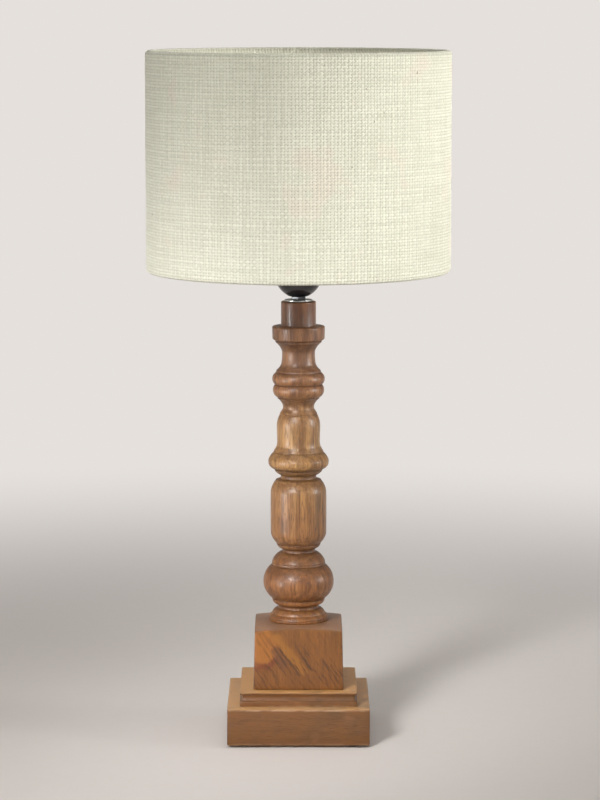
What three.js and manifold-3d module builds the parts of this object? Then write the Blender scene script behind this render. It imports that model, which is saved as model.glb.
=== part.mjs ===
// Table lamp with a drum shade.
//
// A turned wooden column stands on a plinth of two square tiers. A threaded pipe runs up the
// middle, clamps the wood between two nuts and carries a screw lampholder. The shade's wire
// frame sits on the lampholder's flange under a screwed ring, round an A60 bulb.
//
// Millimetres, +Z up. The origin is on the table top, on the column's axis. The front faces -Y.

import * as THREE from 'three';
import { mergeVertices } from 'three/addons/utils/BufferGeometryUtils.js';
import Module from 'manifold-3d';

const wasm = await Module();
wasm.setup();

// Clearances
const SEAT_GAP = 0.3;            // between pieces that rest on, butt against or slip into each other
const RUN_THROUGH = 1;           // how far a cutting tool runs past the face it breaks
const MERGE_DISTANCE = 1e-4;

// Roundness: sides of a full circle, always a multiple of four
const SIDES_SHADE = 48;
const SIDES_COLUMN = 20;
const SIDES_FITTING = 24;
const SIDES_SMALL = 12;
const SIDES_WIRE = 6;
const ARC_STEP_DEG = 36;
const DOME_STEPS = 6;
const GLOBE_STEPS = 9;

// Feet
const PAD_RADIUS = 9;
const PAD_THICKNESS = 2;
const PAD_INSET = 16;            // from the lower tier's sides to the pad's centre

// Plinth, lower tier
const LOWER_WIDTH = 143;
const LOWER_HEIGHT = 36.8;
const TIER_CORNER = 1.6;         // rounding of the upright edges
const TIER_EDGE = 1.2;           // softening of the level edges
const RECESS_RADIUS = 30;        // wiring recess in the underside
const RECESS_DEPTH = 14;

// Plinth, upper tier, with a lip over a shallow cove
const UPPER_WIDTH = 118;
const UPPER_HEIGHT = 13.7;
const LIP_HEIGHT = 1.8;
const COVE_TOP_INSET = 1.6;
const COVE_DEEP_INSET = 2.4;
const COVE_FOOT_INSET = 1.2;
const COVE_HEIGHT = 6.5;
const COVE_FOOT_STEP = 0.5;

// Column block
const BLOCK_WIDTH_FOOT = 91;
const BLOCK_WIDTH_HEAD = 88;
const BLOCK_CORNER = 2;
const BLOCK_CROWN = 64.7;        // height of the dome's crown above the block's foot
const DOME_RADIUS = 380;
const TURNING_SINK = 1.5;        // the first moulding starts this far below the crown

// Turned mouldings, from the block up: [name, rise, radius at its top, bulge of its side]
const TURNING_START_RADIUS = 29.6;
const MOULDINGS = [
  ['foot band', 2.7, 30.0, 0.3],
  ['foot ovolo', 4.6, 26.8, 0.6],
  ['foot fillet', 1.4, 26.5, 0],
  ['foot shoulder', 4.0, 21.0, 0.9],
  ['foot neck', 4.0, 21.5, -0.9],
  ['ball seat', 3.2, 26.2, 0.8],
  ['ball fillet', 2.2, 26.8, 0],
  ['ball', 33.9, 28.9, 7.95],
  ['ball ledge', 1.1, 27.2, 0],
  ['ball collar', 2.6, 26.9, 0],
  ['collar ovolo', 8.8, 21.5, 0.7],
  ['collar ledge', 2.2, 17.0, 0.3],
  ['lower neck', 3.2, 17.0, -0.45],
  ['barrel seat', 2.9, 21.4, 0.5],
  ['barrel fillet', 2.1, 22.5, 0],
  ['barrel heel', 10.6, 28.1, 0.85],
  ['barrel', 43.0, 28.2, 0.2],
  ['barrel shoulder', 11.0, 23.4, 0.9],
  ['barrel cap', 1.0, 22.9, 0],
  ['barrel ledge', 2.0, 18.2, -0.3],
  ['middle neck', 3.1, 18.3, -0.25],
  ['ring seat', 3.4, 23.5, 0.4],
  ['ring fillet', 2.1, 24.6, 0],
  ['ring heel', 5.9, 30.4, 1.2],
  ['ring', 4.1, 30.5, 0.15],
  ['ring shoulder', 7.4, 25.3, 0.6],
  ['bell flare', 6.0, 22.3, 0],
  ['bell waist', 7.0, 21.6, -0.25],
  ['bell', 12.0, 21.9, 0],
  ['bell shoulder', 13.8, 18.9, 1.0],
  ['bell crown', 5.7, 15.8, 0],
  ['upper neck', 4.5, 16.2, -0.3],
  ['bead cove', 6.2, 21.3, -0.5],
  ['bead fillet', 1.2, 21.8, 0],
  ['lower bead', 12.2, 24.2, 2.8],
  ['upper bead', 12.6, 22.8, 3.0],
  ['waist fillet', 2.4, 22.2, 0],
  ['waist cove', 6.4, 17.4, -0.6],
  ['waist', 13.0, 16.7, -0.4],
  ['collar cove', 9.0, 23.3, -0.9],
  ['collar fillet', 1.2, 23.5, 0],
  ['collar heel', 2.6, 26.3, 0.4],
  ['collar band', 10.8, 26.6, 0],
  ['collar edge', 1.6, 25.6, 0.3],
  ['collar top', 0.7, 17.6, 0],
  ['candle', 22.6, 17.5, 0],
  ['candle edge', 1.7, 16.8, 0.3],
];

// Threaded pipe, nuts and washers
const PIPE_RADIUS = 5;
const PIPE_BORE = 3.8;
const PIPE_HOLE_PLAY = 0.5;      // room round the pipe in the wood
const PIPE_TAIL = 2.5;           // thread left showing under the base nut
const PIPE_HEAD = 4;             // pipe above the lampholder's floor
const NUT_ACROSS_FLATS = 14;
const NUT_HEIGHT = 3;
const WASHER_RADIUS = 14;
const WASHER_THICKNESS = 1.5;

// Screws and dowels that hold the tiers and the block together
const SCREW_PLACE = 42;          // from the axis, along X and Y
const SCREW_SHANK = 2.1;
const SCREW_HEAD_RADIUS = 4.3;
const SCREW_HEAD_HEIGHT = 2.6;
const SCREW_HEAD_EDGE = 0.9;      // straight part of the head before its cone
const SCREW_HEAD_DEPTH = 10;     // head sunk above the underside
const SCREW_BITE = 9;            // shank held in the upper tier
const DOWEL_PLACE = 28;
const DOWEL_RADIUS = 4;
const DOWEL_IN_TIER = 11;
const DOWEL_IN_BLOCK = 15;

// Cord inlet
const CORD_HOLE_RADIUS = 4.5;
const CORD_HOLE_HEIGHT = 7.9;    // above the underside of the lower tier
const BUSHING_BORE = 3.2;
const BUSHING_LENGTH = 12;
const BUSHING_FLANGE_RADIUS = 7.2;
const BUSHING_FLANGE_THICKNESS = 1.6;

// Lampholder cap
const CAP_BASE_RADIUS = 10;
const CAP_RADIUS = 22.5;
const CAP_DOME_HEIGHT = 13.5;
const CAP_DOME_BULGE = 1.7;
const CAP_HEIGHT = 23.1;
const CAP_FLOOR = 3.6;
const CAP_WALL = 2.2;
const CAP_LEDGE_HEIGHT = 13.6;   // inner ledge that the core sits on
const CAP_LEDGE_WIDTH = 1.8;
const GRUB_RADIUS = 1.2;
const GRUB_LENGTH = 5.5;

// Lampholder core, skirt and contacts
const CORE_FLANGE_THICKNESS = 2.5;
const CORE_RADIUS = 17;
const CORE_HEIGHT = 15;
const SKIRT_COLLAR_HEIGHT = 3.7;
const BARREL_RADIUS = 19.75;      // threaded barrel that the shade's fitter slips over
const SHADE_FLANGE_WIDTH = 5.25;  // how far the flange under the fitter stands out from the barrel
const SHADE_FLANGE_THICKNESS = 3;
const BARREL_HEIGHT = 28;
const SHELL_RADIUS = 14.1;
const SHELL_WALL = 0.6;
const SHELL_HEIGHT = 24.5;
const TONGUE_WIDTH = 5;
const TONGUE_LENGTH = 15;
const TONGUE_THICKNESS = 0.5;
const TONGUE_RISE = 2.6;
const TONGUE_FOOT = 6;           // length of its flat foot, and of its ramp
const TERMINAL_PLACE = 10;
const TERMINAL_SHANK = 1.7;
const TERMINAL_DEPTH = 7;
const TERMINAL_HEAD_RADIUS = 3;
const TERMINAL_HEAD_HEIGHT = 2;

// Bulb
const TIP_RADIUS = 4.8;
const TIP_THICKNESS = 1.5;
const INSULATOR_RADIUS = 10.5;
const INSULATOR_HEIGHT = 3.5;
const BULB_CAP_RADIUS = 13;
const BULB_CAP_HEIGHT = 21.5;
const HOUSING_FOOT_RADIUS = 14.4;
const HOUSING_RADIUS = 28;
const HOUSING_HEIGHT = 38;
const HOUSING_BULGE = 2.4;
const GLOBE_RADIUS = 30;
const GLOBE_HEIGHT = 47;
const BULB_WALL = 1.4;

// Shade
const SHADE_RADIUS = 152.4;
const SHADE_HEIGHT = 220;
const SHADE_DROP = 5.3;          // the shade's lower rim hangs this far under the fitter's seat
const FABRIC_THICKNESS = 1.2;
const LINING_THICKNESS = 0.8;
const HOOP_WIRE_RADIUS = 1.5;
const HEM_DEPTH = 12;
const SPOKE_COUNT = 3;
const SPOKE_WIRE_RADIUS = 1.6;
const SPOKE_NOTCH_MARGIN = 1;
const FITTER_PLAY = 0.85;        // between the fitter's hole and the lampholder's barrel
const FITTER_RIM = 6.4;
const FITTER_THICKNESS = 2;
const RING_PLAY = 0.35;
const RING_WIDTH = 6.25;         // how far the clamp ring stands out from the barrel
const RING_HEIGHT = 7;

// Heights worked out from the sizes above, from the table up
const lowerBase = PAD_THICKNESS + SEAT_GAP;
const lowerTop = lowerBase + LOWER_HEIGHT;
const upperBase = lowerTop + SEAT_GAP;
const upperTop = upperBase + UPPER_HEIGHT;
const columnBase = upperTop + SEAT_GAP;
const turningStart = BLOCK_CROWN - TURNING_SINK;
const columnHeight = MOULDINGS.reduce((height, [, rise]) => height + rise, turningStart);
const columnTop = columnBase + columnHeight;
const recessCeiling = lowerBase + RECESS_DEPTH;
const baseWasherBase = recessCeiling - SEAT_GAP - WASHER_THICKNESS;
const baseNutBase = baseWasherBase - SEAT_GAP - NUT_HEIGHT;
const topWasherBase = columnTop + SEAT_GAP;
const topNutBase = topWasherBase + WASHER_THICKNESS + SEAT_GAP;
const capBase = topNutBase + NUT_HEIGHT + SEAT_GAP;
const pipeBase = baseNutBase - PIPE_TAIL;
const pipeTop = capBase + CAP_FLOOR + PIPE_HEAD;
const coreBase = capBase + CAP_LEDGE_HEIGHT + SEAT_GAP;
const coreTop = coreBase + CORE_HEIGHT;
const skirtBase = coreBase + CORE_FLANGE_THICKNESS + SEAT_GAP;
const collarBase = capBase + CAP_HEIGHT + SEAT_GAP;
const shadeFlangeTop = collarBase + SKIRT_COLLAR_HEIGHT + SHADE_FLANGE_THICKNESS;
const skirtTop = shadeFlangeTop + BARREL_HEIGHT;
const fitterBase = shadeFlangeTop + SEAT_GAP;
const ringBase = fitterBase + FITTER_THICKNESS + SEAT_GAP;
const shellBase = coreTop + SEAT_GAP;
const tipBase = shellBase + TONGUE_RISE + SEAT_GAP;
const insulatorBase = tipBase + TIP_THICKNESS + SEAT_GAP;
const bulbCapBase = insulatorBase + INSULATOR_HEIGHT + SEAT_GAP;
const housingBase = bulbCapBase + BULB_CAP_HEIGHT + SEAT_GAP;
const globeBase = housingBase + HOUSING_HEIGHT + SEAT_GAP;
const shadeBase = fitterBase - SHADE_DROP;

// Radii worked out the same way, from the fabric inwards
const fabricInside = SHADE_RADIUS - FABRIC_THICKNESS;
const liningOutside = fabricInside - SEAT_GAP;
const liningInside = liningOutside - LINING_THICKNESS;
const hoopCentre = liningInside - SEAT_GAP - HOOP_WIRE_RADIUS;
const hemOutside = hoopCentre - HOOP_WIRE_RADIUS - SEAT_GAP;
const hemInside = hemOutside - FABRIC_THICKNESS;
const hoopLift = FABRIC_THICKNESS + SEAT_GAP + HOOP_WIRE_RADIUS;
const fitterHole = BARREL_RADIUS + FITTER_PLAY;
const fitterOutside = fitterHole + FITTER_RIM;
const shadeFlangeRadius = BARREL_RADIUS + SHADE_FLANGE_WIDTH;
const ringRadius = BARREL_RADIUS + RING_WIDTH;
const pipeHole = PIPE_RADIUS + PIPE_HOLE_PLAY;
const capInside = CAP_RADIUS - CAP_WALL;

// Materials
const finish = (color, roughness, metalness = 0) => ({ color, roughness, metalness });
const FINISHES = {
  wood: finish(0x94683f, 0.5),
  felt: finish(0x3a332d, 0.95),
  zinc: finish(0xb9bcbd, 0.35, 0.9),
  darkSteel: finish(0x3c3f40, 0.4, 0.8),
  brass: finish(0xc9a04a, 0.3, 0.9),
  bakelite: finish(0x17171a, 0.28),
  porcelain: finish(0xe9e6dc, 0.35),
  nylon: finish(0x2c2623, 0.5),
  nickel: finish(0xc8c8c6, 0.28, 0.9),
  glassBead: finish(0x201c22, 0.15),
  bulbShell: finish(0xf2f2ef, 0.4),
  frost: finish(0xfbfaf4, 0.5),
  jute: finish(0xe2dfcb, 0.95),
  lining: finish(0xf4f1e6, 0.6),
  frameWire: finish(0xe9e7df, 0.45, 0.3),
};

// Geometry helpers: every blank and every cutting tool is a closed three.js geometry

// The signed volume is negative when a geometry's faces point inwards.
function signedVolume(positions, triangles) {
  const corner = (i) => new THREE.Vector3().fromArray(positions, 3 * i);
  let volume = 0;
  for (const [a, b, c] of triangles) {
    volume += corner(a).dot(corner(b).cross(corner(c))) / 6;
  }
  return volume;
}

function solidOf(geometry) {
  const bare = geometry.clone();
  bare.deleteAttribute('normal');
  bare.deleteAttribute('uv');
  const merged = mergeVertices(bare, MERGE_DISTANCE);
  const index = merged.getIndex().array;
  const triangles = [];
  for (let i = 0; i < index.length; i += 3) {
    const [a, b, c] = [index[i], index[i + 1], index[i + 2]];
    if (a !== b && b !== c && c !== a) triangles.push([a, b, c]);
  }
  const positions = merged.getAttribute('position').array;
  const outward = signedVolume(positions, triangles) > 0;
  const triVerts = new Uint32Array(triangles.map((t) => (outward ? t : [t[0], t[2], t[1]])).flat());
  const vertProperties = new Float32Array(positions);
  return new wasm.Manifold(new wasm.Mesh({ numProp: 3, vertProperties, triVerts }));
}

function geometryOf(solid) {
  const mesh = solid.getMesh();
  const geometry = new THREE.BufferGeometry();
  geometry.setAttribute('position', new THREE.BufferAttribute(new Float32Array(mesh.vertProperties), 3));
  geometry.setIndex(new THREE.BufferAttribute(new Uint32Array(mesh.triVerts), 1));
  geometry.computeVertexNormals();
  return geometry;
}

const cut = (blank, ...tools) =>
  geometryOf(tools.reduce((solid, tool) => solid.subtract(solidOf(tool)), solidOf(blank)));
const join = (first, ...others) =>
  geometryOf(others.reduce((solid, other) => solid.add(solidOf(other)), solidOf(first)));
const common = (first, other) => geometryOf(solidOf(first).intersect(solidOf(other)));

// A solid of revolution about Z. The profile is a list of [radius, height], which starts and
// ends on the axis or is closed back to its first point.
function turned(profile, sides) {
  const first = profile[0];
  const last = profile[profile.length - 1];
  const onAxis = first[0] === 0 && last[0] === 0;
  const points = (onAxis ? profile : [...profile, first]).map(([r, z]) => new THREE.Vector2(r, z));
  return new THREE.LatheGeometry(points, sides).rotateX(Math.PI / 2);
}

const disc = (radius, height, sides) =>
  turned([[0, 0], [radius, 0], [radius, height], [0, height]], sides);
const tube = (outer, inner, height, sides) =>
  turned([[inner, 0], [outer, 0], [outer, height], [inner, height]], sides);

// A drilling tool along Z that runs past both ends of the stretch from low to high.
const drill = (radius, low, high, sides = SIDES_SMALL * 2) =>
  disc(radius, high - low, sides).translate(0, 0, low);

// Points after `from` on a circular arc to `to`. A positive bulge swells away from the axis on
// a side that climbs.
function arc(from, to, bulge, stepDeg = ARC_STEP_DEG) {
  if (bulge === 0) return [to];
  const chord = new THREE.Vector2(to[0] - from[0], to[1] - from[1]);
  const half = chord.length() / 2;
  const along = chord.clone().normalize();
  const outward = new THREE.Vector2(along.y, -along.x);
  const swell = Math.abs(bulge);
  const radius = (half * half + swell * swell) / (2 * swell);
  const halfAngle = 2 * Math.atan(swell / half);
  const steps = Math.max(2, Math.ceil((2 * halfAngle) / THREE.MathUtils.degToRad(stepDeg)));
  const middle = new THREE.Vector2((from[0] + to[0]) / 2, (from[1] + to[1]) / 2);
  const points = [];
  for (let i = 1; i < steps; i += 1) {
    const angle = halfAngle * ((2 * i) / steps - 1);
    const offset = Math.sign(bulge) * (radius * Math.cos(angle) - (radius - swell));
    const point = middle.clone();
    point.addScaledVector(along, radius * Math.sin(angle)).addScaledVector(outward, offset);
    points.push([point.x, point.y]);
  }
  return [...points, to];
}

// A square stack with rounded upright edges: each level is [half width, height].
function squareStack(levels, cornerRadius) {
  const cornerSteps = 3;
  const ring = ([half, z]) => {
    const points = [];
    for (let corner = 0; corner < 4; corner += 1) {
      for (let step = 0; step <= cornerSteps; step += 1) {
        const angle = (Math.PI / 2) * (corner + step / cornerSteps);
        const centreAngle = (Math.PI / 2) * (corner + 0.5);
        const centre = (half - cornerRadius) * Math.SQRT2;
        const x = centre * Math.cos(centreAngle) + cornerRadius * Math.cos(angle);
        const y = centre * Math.sin(centreAngle) + cornerRadius * Math.sin(angle);
        points.push([x, y, z]);
      }
    }
    return points;
  };
  const count = 4 * (cornerSteps + 1);
  const positions = levels.flatMap((level) => ring(level)).flat();
  const bottom = positions.length / 3;
  positions.push(0, 0, levels[0][1]);
  positions.push(0, 0, levels[levels.length - 1][1]);
  const index = [];
  for (let i = 0; i < count; i += 1) {
    const next = (i + 1) % count;
    const top = (levels.length - 1) * count;
    index.push(bottom, next, i);
    index.push(bottom + 1, top + i, top + next);
    for (let level = 0; level < levels.length - 1; level += 1) {
      const low = level * count;
      const high = low + count;
      index.push(low + i, low + next, high + next);
      index.push(low + i, high + next, high + i);
    }
  }
  const geometry = new THREE.BufferGeometry();
  geometry.setAttribute('position', new THREE.Float32BufferAttribute(positions, 3));
  geometry.setIndex(index);
  return geometry;
}

function hexNut() {
  const corner = NUT_ACROSS_FLATS / Math.sqrt(3);
  const blank = disc(corner, NUT_HEIGHT, 6);
  const hole = drill(PIPE_RADIUS + SEAT_GAP, -RUN_THROUGH, NUT_HEIGHT + RUN_THROUGH);
  return cut(blank, hole);
}

const washer = () => tube(WASHER_RADIUS, PIPE_RADIUS + SEAT_GAP, WASHER_THICKNESS, SIDES_FITTING);

// Pieces of the plinth

const screwPlaces = [[-1, -1], [1, -1], [1, 1], [-1, 1]].map(([x, y]) => [x * SCREW_PLACE, y * SCREW_PLACE]);
const dowelPlaces = [[-DOWEL_PLACE, 0], [DOWEL_PLACE, 0]];
const screwHeadSeat = SCREW_HEAD_DEPTH + SCREW_HEAD_HEIGHT;
const screwHoleRadius = SCREW_SHANK + SEAT_GAP;

function lowerTier() {
  const half = LOWER_WIDTH / 2;
  const softened = half - TIER_EDGE;
  const blank = squareStack([
    [softened, 0],
    [half, TIER_EDGE],
    [half, LOWER_HEIGHT - TIER_EDGE],
    [softened, LOWER_HEIGHT],
  ], TIER_CORNER);
  const through = LOWER_HEIGHT + RUN_THROUGH;
  const headRoom = SCREW_HEAD_RADIUS + SEAT_GAP;
  const cordWay = drill(CORD_HOLE_RADIUS, 0, half + RUN_THROUGH).rotateX(-Math.PI / 2);
  const tools = [
    drill(RECESS_RADIUS, -RUN_THROUGH, RECESS_DEPTH, SIDES_FITTING),
    drill(pipeHole, -RUN_THROUGH, through),
    cordWay.translate(0, 0, CORD_HOLE_HEIGHT),
  ];
  for (const [x, y] of screwPlaces) {
    const shankWay = drill(screwHoleRadius, -RUN_THROUGH, through, SIDES_SMALL);
    const headWay = drill(headRoom, -RUN_THROUGH, screwHeadSeat + SEAT_GAP, SIDES_SMALL);
    tools.push(shankWay.translate(x, y, 0), headWay.translate(x, y, 0));
  }
  return cut(blank, ...tools);
}

function upperTier() {
  const half = UPPER_WIDTH / 2;
  const coveTop = UPPER_HEIGHT - LIP_HEIGHT;
  const coveFoot = coveTop - COVE_HEIGHT;
  const deep = (coveTop + coveFoot) / 2;
  const blank = squareStack([
    [half - COVE_FOOT_INSET + COVE_FOOT_STEP, 0],
    [half - COVE_FOOT_INSET + COVE_FOOT_STEP, coveFoot],
    [half - COVE_FOOT_INSET, coveFoot + COVE_FOOT_STEP],
    [half - COVE_DEEP_INSET, deep],
    [half - COVE_TOP_INSET, coveTop - COVE_FOOT_STEP / 2],
    [half, coveTop],
    [half, UPPER_HEIGHT - COVE_FOOT_STEP],
    [half - COVE_FOOT_STEP, UPPER_HEIGHT],
  ], TIER_CORNER);
  const tools = [drill(pipeHole, -RUN_THROUGH, UPPER_HEIGHT + RUN_THROUGH)];
  for (const [x, y] of screwPlaces) {
    const pilot = drill(screwHoleRadius, -RUN_THROUGH, SCREW_BITE + SEAT_GAP, SIDES_SMALL);
    tools.push(pilot.translate(x, y, 0));
  }
  for (const [x, y] of dowelPlaces) {
    const pocket = drill(DOWEL_RADIUS + SEAT_GAP, UPPER_HEIGHT - DOWEL_IN_TIER, UPPER_HEIGHT + RUN_THROUGH);
    tools.push(pocket.translate(x, y, 0));
  }
  return cut(blank, ...tools);
}

function plinthScrew() {
  const length = LOWER_HEIGHT + SCREW_BITE - SCREW_HEAD_DEPTH;
  return turned([
    [0, 0],
    [SCREW_HEAD_RADIUS, 0],
    [SCREW_HEAD_RADIUS, SCREW_HEAD_EDGE],
    [SCREW_SHANK, SCREW_HEAD_HEIGHT],
    [SCREW_SHANK, length - 2 * SCREW_SHANK],
    [0, length],
  ], SIDES_SMALL);
}

function cordBushing() {
  const sleeve = CORD_HOLE_RADIUS - SEAT_GAP;
  return turned([
    [BUSHING_BORE, 0],
    [sleeve, 0],
    [sleeve, BUSHING_LENGTH],
    [BUSHING_FLANGE_RADIUS, BUSHING_LENGTH],
    [BUSHING_FLANGE_RADIUS, BUSHING_LENGTH + BUSHING_FLANGE_THICKNESS],
    [BUSHING_BORE, BUSHING_LENGTH + BUSHING_FLANGE_THICKNESS],
  ], SIDES_SMALL * 2).rotateX(-Math.PI / 2);
}

// The column: a square block with a domed head, and the turned mouldings above it

function mouldingProfile() {
  const points = [[0, turningStart - TURNING_SINK], [TURNING_START_RADIUS, turningStart - TURNING_SINK]];
  let from = [TURNING_START_RADIUS, turningStart];
  points.push(from);
  for (const [, rise, radius, bulge] of MOULDINGS) {
    const to = [radius, from[1] + rise];
    points.push(...arc(from, to, bulge));
    from = to;
  }
  points.push([0, from[1]]);
  return points;
}

function columnBlock() {
  const blank = squareStack([
    [BLOCK_WIDTH_FOOT / 2 - SEAT_GAP, 0],
    [BLOCK_WIDTH_FOOT / 2, SEAT_GAP],
    [BLOCK_WIDTH_HEAD / 2, BLOCK_CROWN],
  ], BLOCK_CORNER);
  const reach = BLOCK_WIDTH_FOOT;
  const dome = [[0, -RUN_THROUGH], [reach, -RUN_THROUGH]];
  for (let step = DOME_STEPS; step >= 0; step -= 1) {
    const radius = (reach * step) / DOME_STEPS;
    dome.push([radius, BLOCK_CROWN - (radius * radius) / (2 * DOME_RADIUS)]);
  }
  return common(blank, turned(dome, SIDES_COLUMN * 2));
}

function turnedColumn() {
  const whole = join(columnBlock(), turned(mouldingProfile(), SIDES_COLUMN));
  const tools = [drill(pipeHole, -RUN_THROUGH, columnHeight + RUN_THROUGH, SIDES_SMALL)];
  for (const [x, y] of dowelPlaces) {
    const pocket = drill(DOWEL_RADIUS + SEAT_GAP, -RUN_THROUGH, DOWEL_IN_BLOCK);
    tools.push(pocket.translate(x, y, 0));
  }
  return cut(whole, ...tools);
}

function dowel() {
  const length = DOWEL_IN_TIER + DOWEL_IN_BLOCK - SEAT_GAP;
  return disc(DOWEL_RADIUS, length, SIDES_SMALL);
}

// The lampholder

function capOutline() {
  const start = [CAP_BASE_RADIUS, 0];
  return arc(start, [CAP_RADIUS, CAP_DOME_HEIGHT], CAP_DOME_BULGE, ARC_STEP_DEG / 2);
}

function lampholderCap() {
  const ledge = capInside - CAP_LEDGE_WIDTH;
  const blank = turned([
    [0, 0],
    [CAP_BASE_RADIUS, 0],
    ...capOutline(),
    [CAP_RADIUS, CAP_HEIGHT],
    [capInside, CAP_HEIGHT],
    [capInside, CAP_LEDGE_HEIGHT],
    [ledge, CAP_LEDGE_HEIGHT],
    [ledge, CAP_LEDGE_HEIGHT - CAP_LEDGE_WIDTH],
    [CAP_BASE_RADIUS + CAP_WALL, CAP_FLOOR + CAP_WALL / 2],
    [CAP_BASE_RADIUS, CAP_FLOOR],
    [0, CAP_FLOOR],
  ], SIDES_FITTING);
  const pipeWay = drill(PIPE_RADIUS + SEAT_GAP, -RUN_THROUGH, CAP_FLOOR + RUN_THROUGH);
  const grubWay = drill(GRUB_RADIUS + SEAT_GAP, 0, CAP_RADIUS, SIDES_SMALL)
    .rotateX(-Math.PI / 2).translate(0, 0, CAP_FLOOR / 2);
  return cut(blank, pipeWay, grubWay);
}

function grubScrew() {
  return disc(GRUB_RADIUS, GRUB_LENGTH, SIDES_SMALL).rotateX(-Math.PI / 2);
}

function lampholderCore() {
  const flange = capInside - SEAT_GAP;
  const blank = turned([
    [0, 0],
    [flange, 0],
    [flange, CORE_FLANGE_THICKNESS],
    [CORE_RADIUS, CORE_FLANGE_THICKNESS],
    [CORE_RADIUS, CORE_HEIGHT],
    [0, CORE_HEIGHT],
  ], SIDES_FITTING);
  const holes = [-TERMINAL_PLACE, TERMINAL_PLACE].map((x) => {
    const hole = drill(TERMINAL_SHANK + SEAT_GAP, -RUN_THROUGH, TERMINAL_DEPTH + SEAT_GAP);
    return hole.translate(x, 0, 0);
  });
  return cut(blank, ...holes);
}

function terminalScrew() {
  const length = TERMINAL_HEAD_HEIGHT + SEAT_GAP + TERMINAL_DEPTH;
  return turned([
    [0, 0],
    [TERMINAL_HEAD_RADIUS, 0],
    [TERMINAL_HEAD_RADIUS, TERMINAL_HEAD_HEIGHT],
    [TERMINAL_SHANK, TERMINAL_HEAD_HEIGHT],
    [TERMINAL_SHANK, length],
    [0, length],
  ], SIDES_SMALL);
}

function lampholderSkirt() {
  const spigot = capInside - SEAT_GAP;
  const coreRoom = CORE_RADIUS + SEAT_GAP;
  const shellRoom = SHELL_RADIUS + SEAT_GAP;
  const collar = collarBase - skirtBase;
  const flangeBase = collar + SKIRT_COLLAR_HEIGHT;
  const flangeTop = flangeBase + SHADE_FLANGE_THICKNESS;
  const top = flangeTop + BARREL_HEIGHT;
  const shoulder = coreTop + SEAT_GAP - skirtBase;
  return turned([
    [coreRoom, 0],
    [spigot, 0],
    [spigot, collar],
    [CAP_RADIUS, collar],
    [CAP_RADIUS, flangeBase],
    [shadeFlangeRadius, flangeBase],
    [shadeFlangeRadius, flangeTop],
    [BARREL_RADIUS, flangeTop],
    [BARREL_RADIUS, top - SEAT_GAP],
    [BARREL_RADIUS - SEAT_GAP, top],
    [shellRoom, top],
    [shellRoom, shoulder],
    [coreRoom, shoulder],
  ], SIDES_FITTING);
}

const screwShell = () => tube(SHELL_RADIUS, SHELL_RADIUS - SHELL_WALL, SHELL_HEIGHT, SIDES_FITTING);

// A springy strip: flat on the core at one end, rising to the bulb's tip at the other.
function contactTongue() {
  const foot = TONGUE_FOOT;
  const shape = new THREE.Shape([
    new THREE.Vector2(-foot, 0),
    new THREE.Vector2(0, 0),
    new THREE.Vector2(foot, TONGUE_RISE - TONGUE_THICKNESS),
    new THREE.Vector2(TONGUE_LENGTH - foot, TONGUE_RISE - TONGUE_THICKNESS),
    new THREE.Vector2(TONGUE_LENGTH - foot, TONGUE_RISE),
    new THREE.Vector2(foot - TONGUE_THICKNESS, TONGUE_RISE),
    new THREE.Vector2(-TONGUE_THICKNESS, TONGUE_THICKNESS),
    new THREE.Vector2(-foot, TONGUE_THICKNESS),
  ]);
  const strip = new THREE.ExtrudeGeometry(shape, { depth: TONGUE_WIDTH, bevelEnabled: false });
  return strip.rotateX(Math.PI / 2).translate(-TONGUE_FOOT / 2, TONGUE_WIDTH / 2, 0);
}

// The bulb

function bulbTip() {
  return turned([
    [0, 0],
    [TIP_RADIUS / 2, 0],
    [TIP_RADIUS, TIP_THICKNESS / 2],
    [TIP_RADIUS, TIP_THICKNESS],
    [0, TIP_THICKNESS],
  ], SIDES_FITTING);
}

function bulbInsulator() {
  return turned([
    [0, 0],
    [TIP_RADIUS, 0],
    [INSULATOR_RADIUS, INSULATOR_HEIGHT],
    [0, INSULATOR_HEIGHT],
  ], SIDES_FITTING);
}

function bulbCap() {
  return turned([
    [0, 0],
    [INSULATOR_RADIUS, 0],
    [BULB_CAP_RADIUS, BULB_CAP_RADIUS - INSULATOR_RADIUS],
    [BULB_CAP_RADIUS, BULB_CAP_HEIGHT],
    [0, BULB_CAP_HEIGHT],
  ], SIDES_FITTING);
}

function bulbHousing() {
  const footInside = HOUSING_FOOT_RADIUS - BULB_WALL;
  const rimInside = HOUSING_RADIUS - BULB_WALL;
  const outer = arc([HOUSING_FOOT_RADIUS, BULB_WALL], [HOUSING_RADIUS, HOUSING_HEIGHT], HOUSING_BULGE);
  const inner = arc([rimInside, HOUSING_HEIGHT], [footInside, 2 * BULB_WALL], -HOUSING_BULGE);
  return turned([
    [0, 0],
    [HOUSING_FOOT_RADIUS, 0],
    [HOUSING_FOOT_RADIUS, BULB_WALL],
    ...outer,
    [rimInside, HOUSING_HEIGHT],
    ...inner,
    [0, 2 * BULB_WALL],
  ], SIDES_FITTING);
}

// A dome that is wider than its mouth, as thick as the bulb's wall, closed at the crown.
function bulbGlobe() {
  const dome = (radius, mouth, height) => {
    const centre = height - radius;
    const lowest = -Math.asin(Math.min(1, centre / radius));
    const points = [[mouth, 0]];
    for (let i = 1; i < GLOBE_STEPS; i += 1) {
      const angle = lowest + (Math.PI / 2 - lowest) * (i / GLOBE_STEPS);
      points.push([radius * Math.cos(angle), centre + radius * Math.sin(angle)]);
    }
    points.push([0, height]);
    return points;
  };
  const outer = dome(GLOBE_RADIUS, HOUSING_RADIUS, GLOBE_HEIGHT);
  const inner = dome(GLOBE_RADIUS - BULB_WALL, HOUSING_RADIUS - BULB_WALL, GLOBE_HEIGHT - BULB_WALL);
  return turned([...outer, ...inner.reverse()], SIDES_FITTING);
}

// The shade

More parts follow.
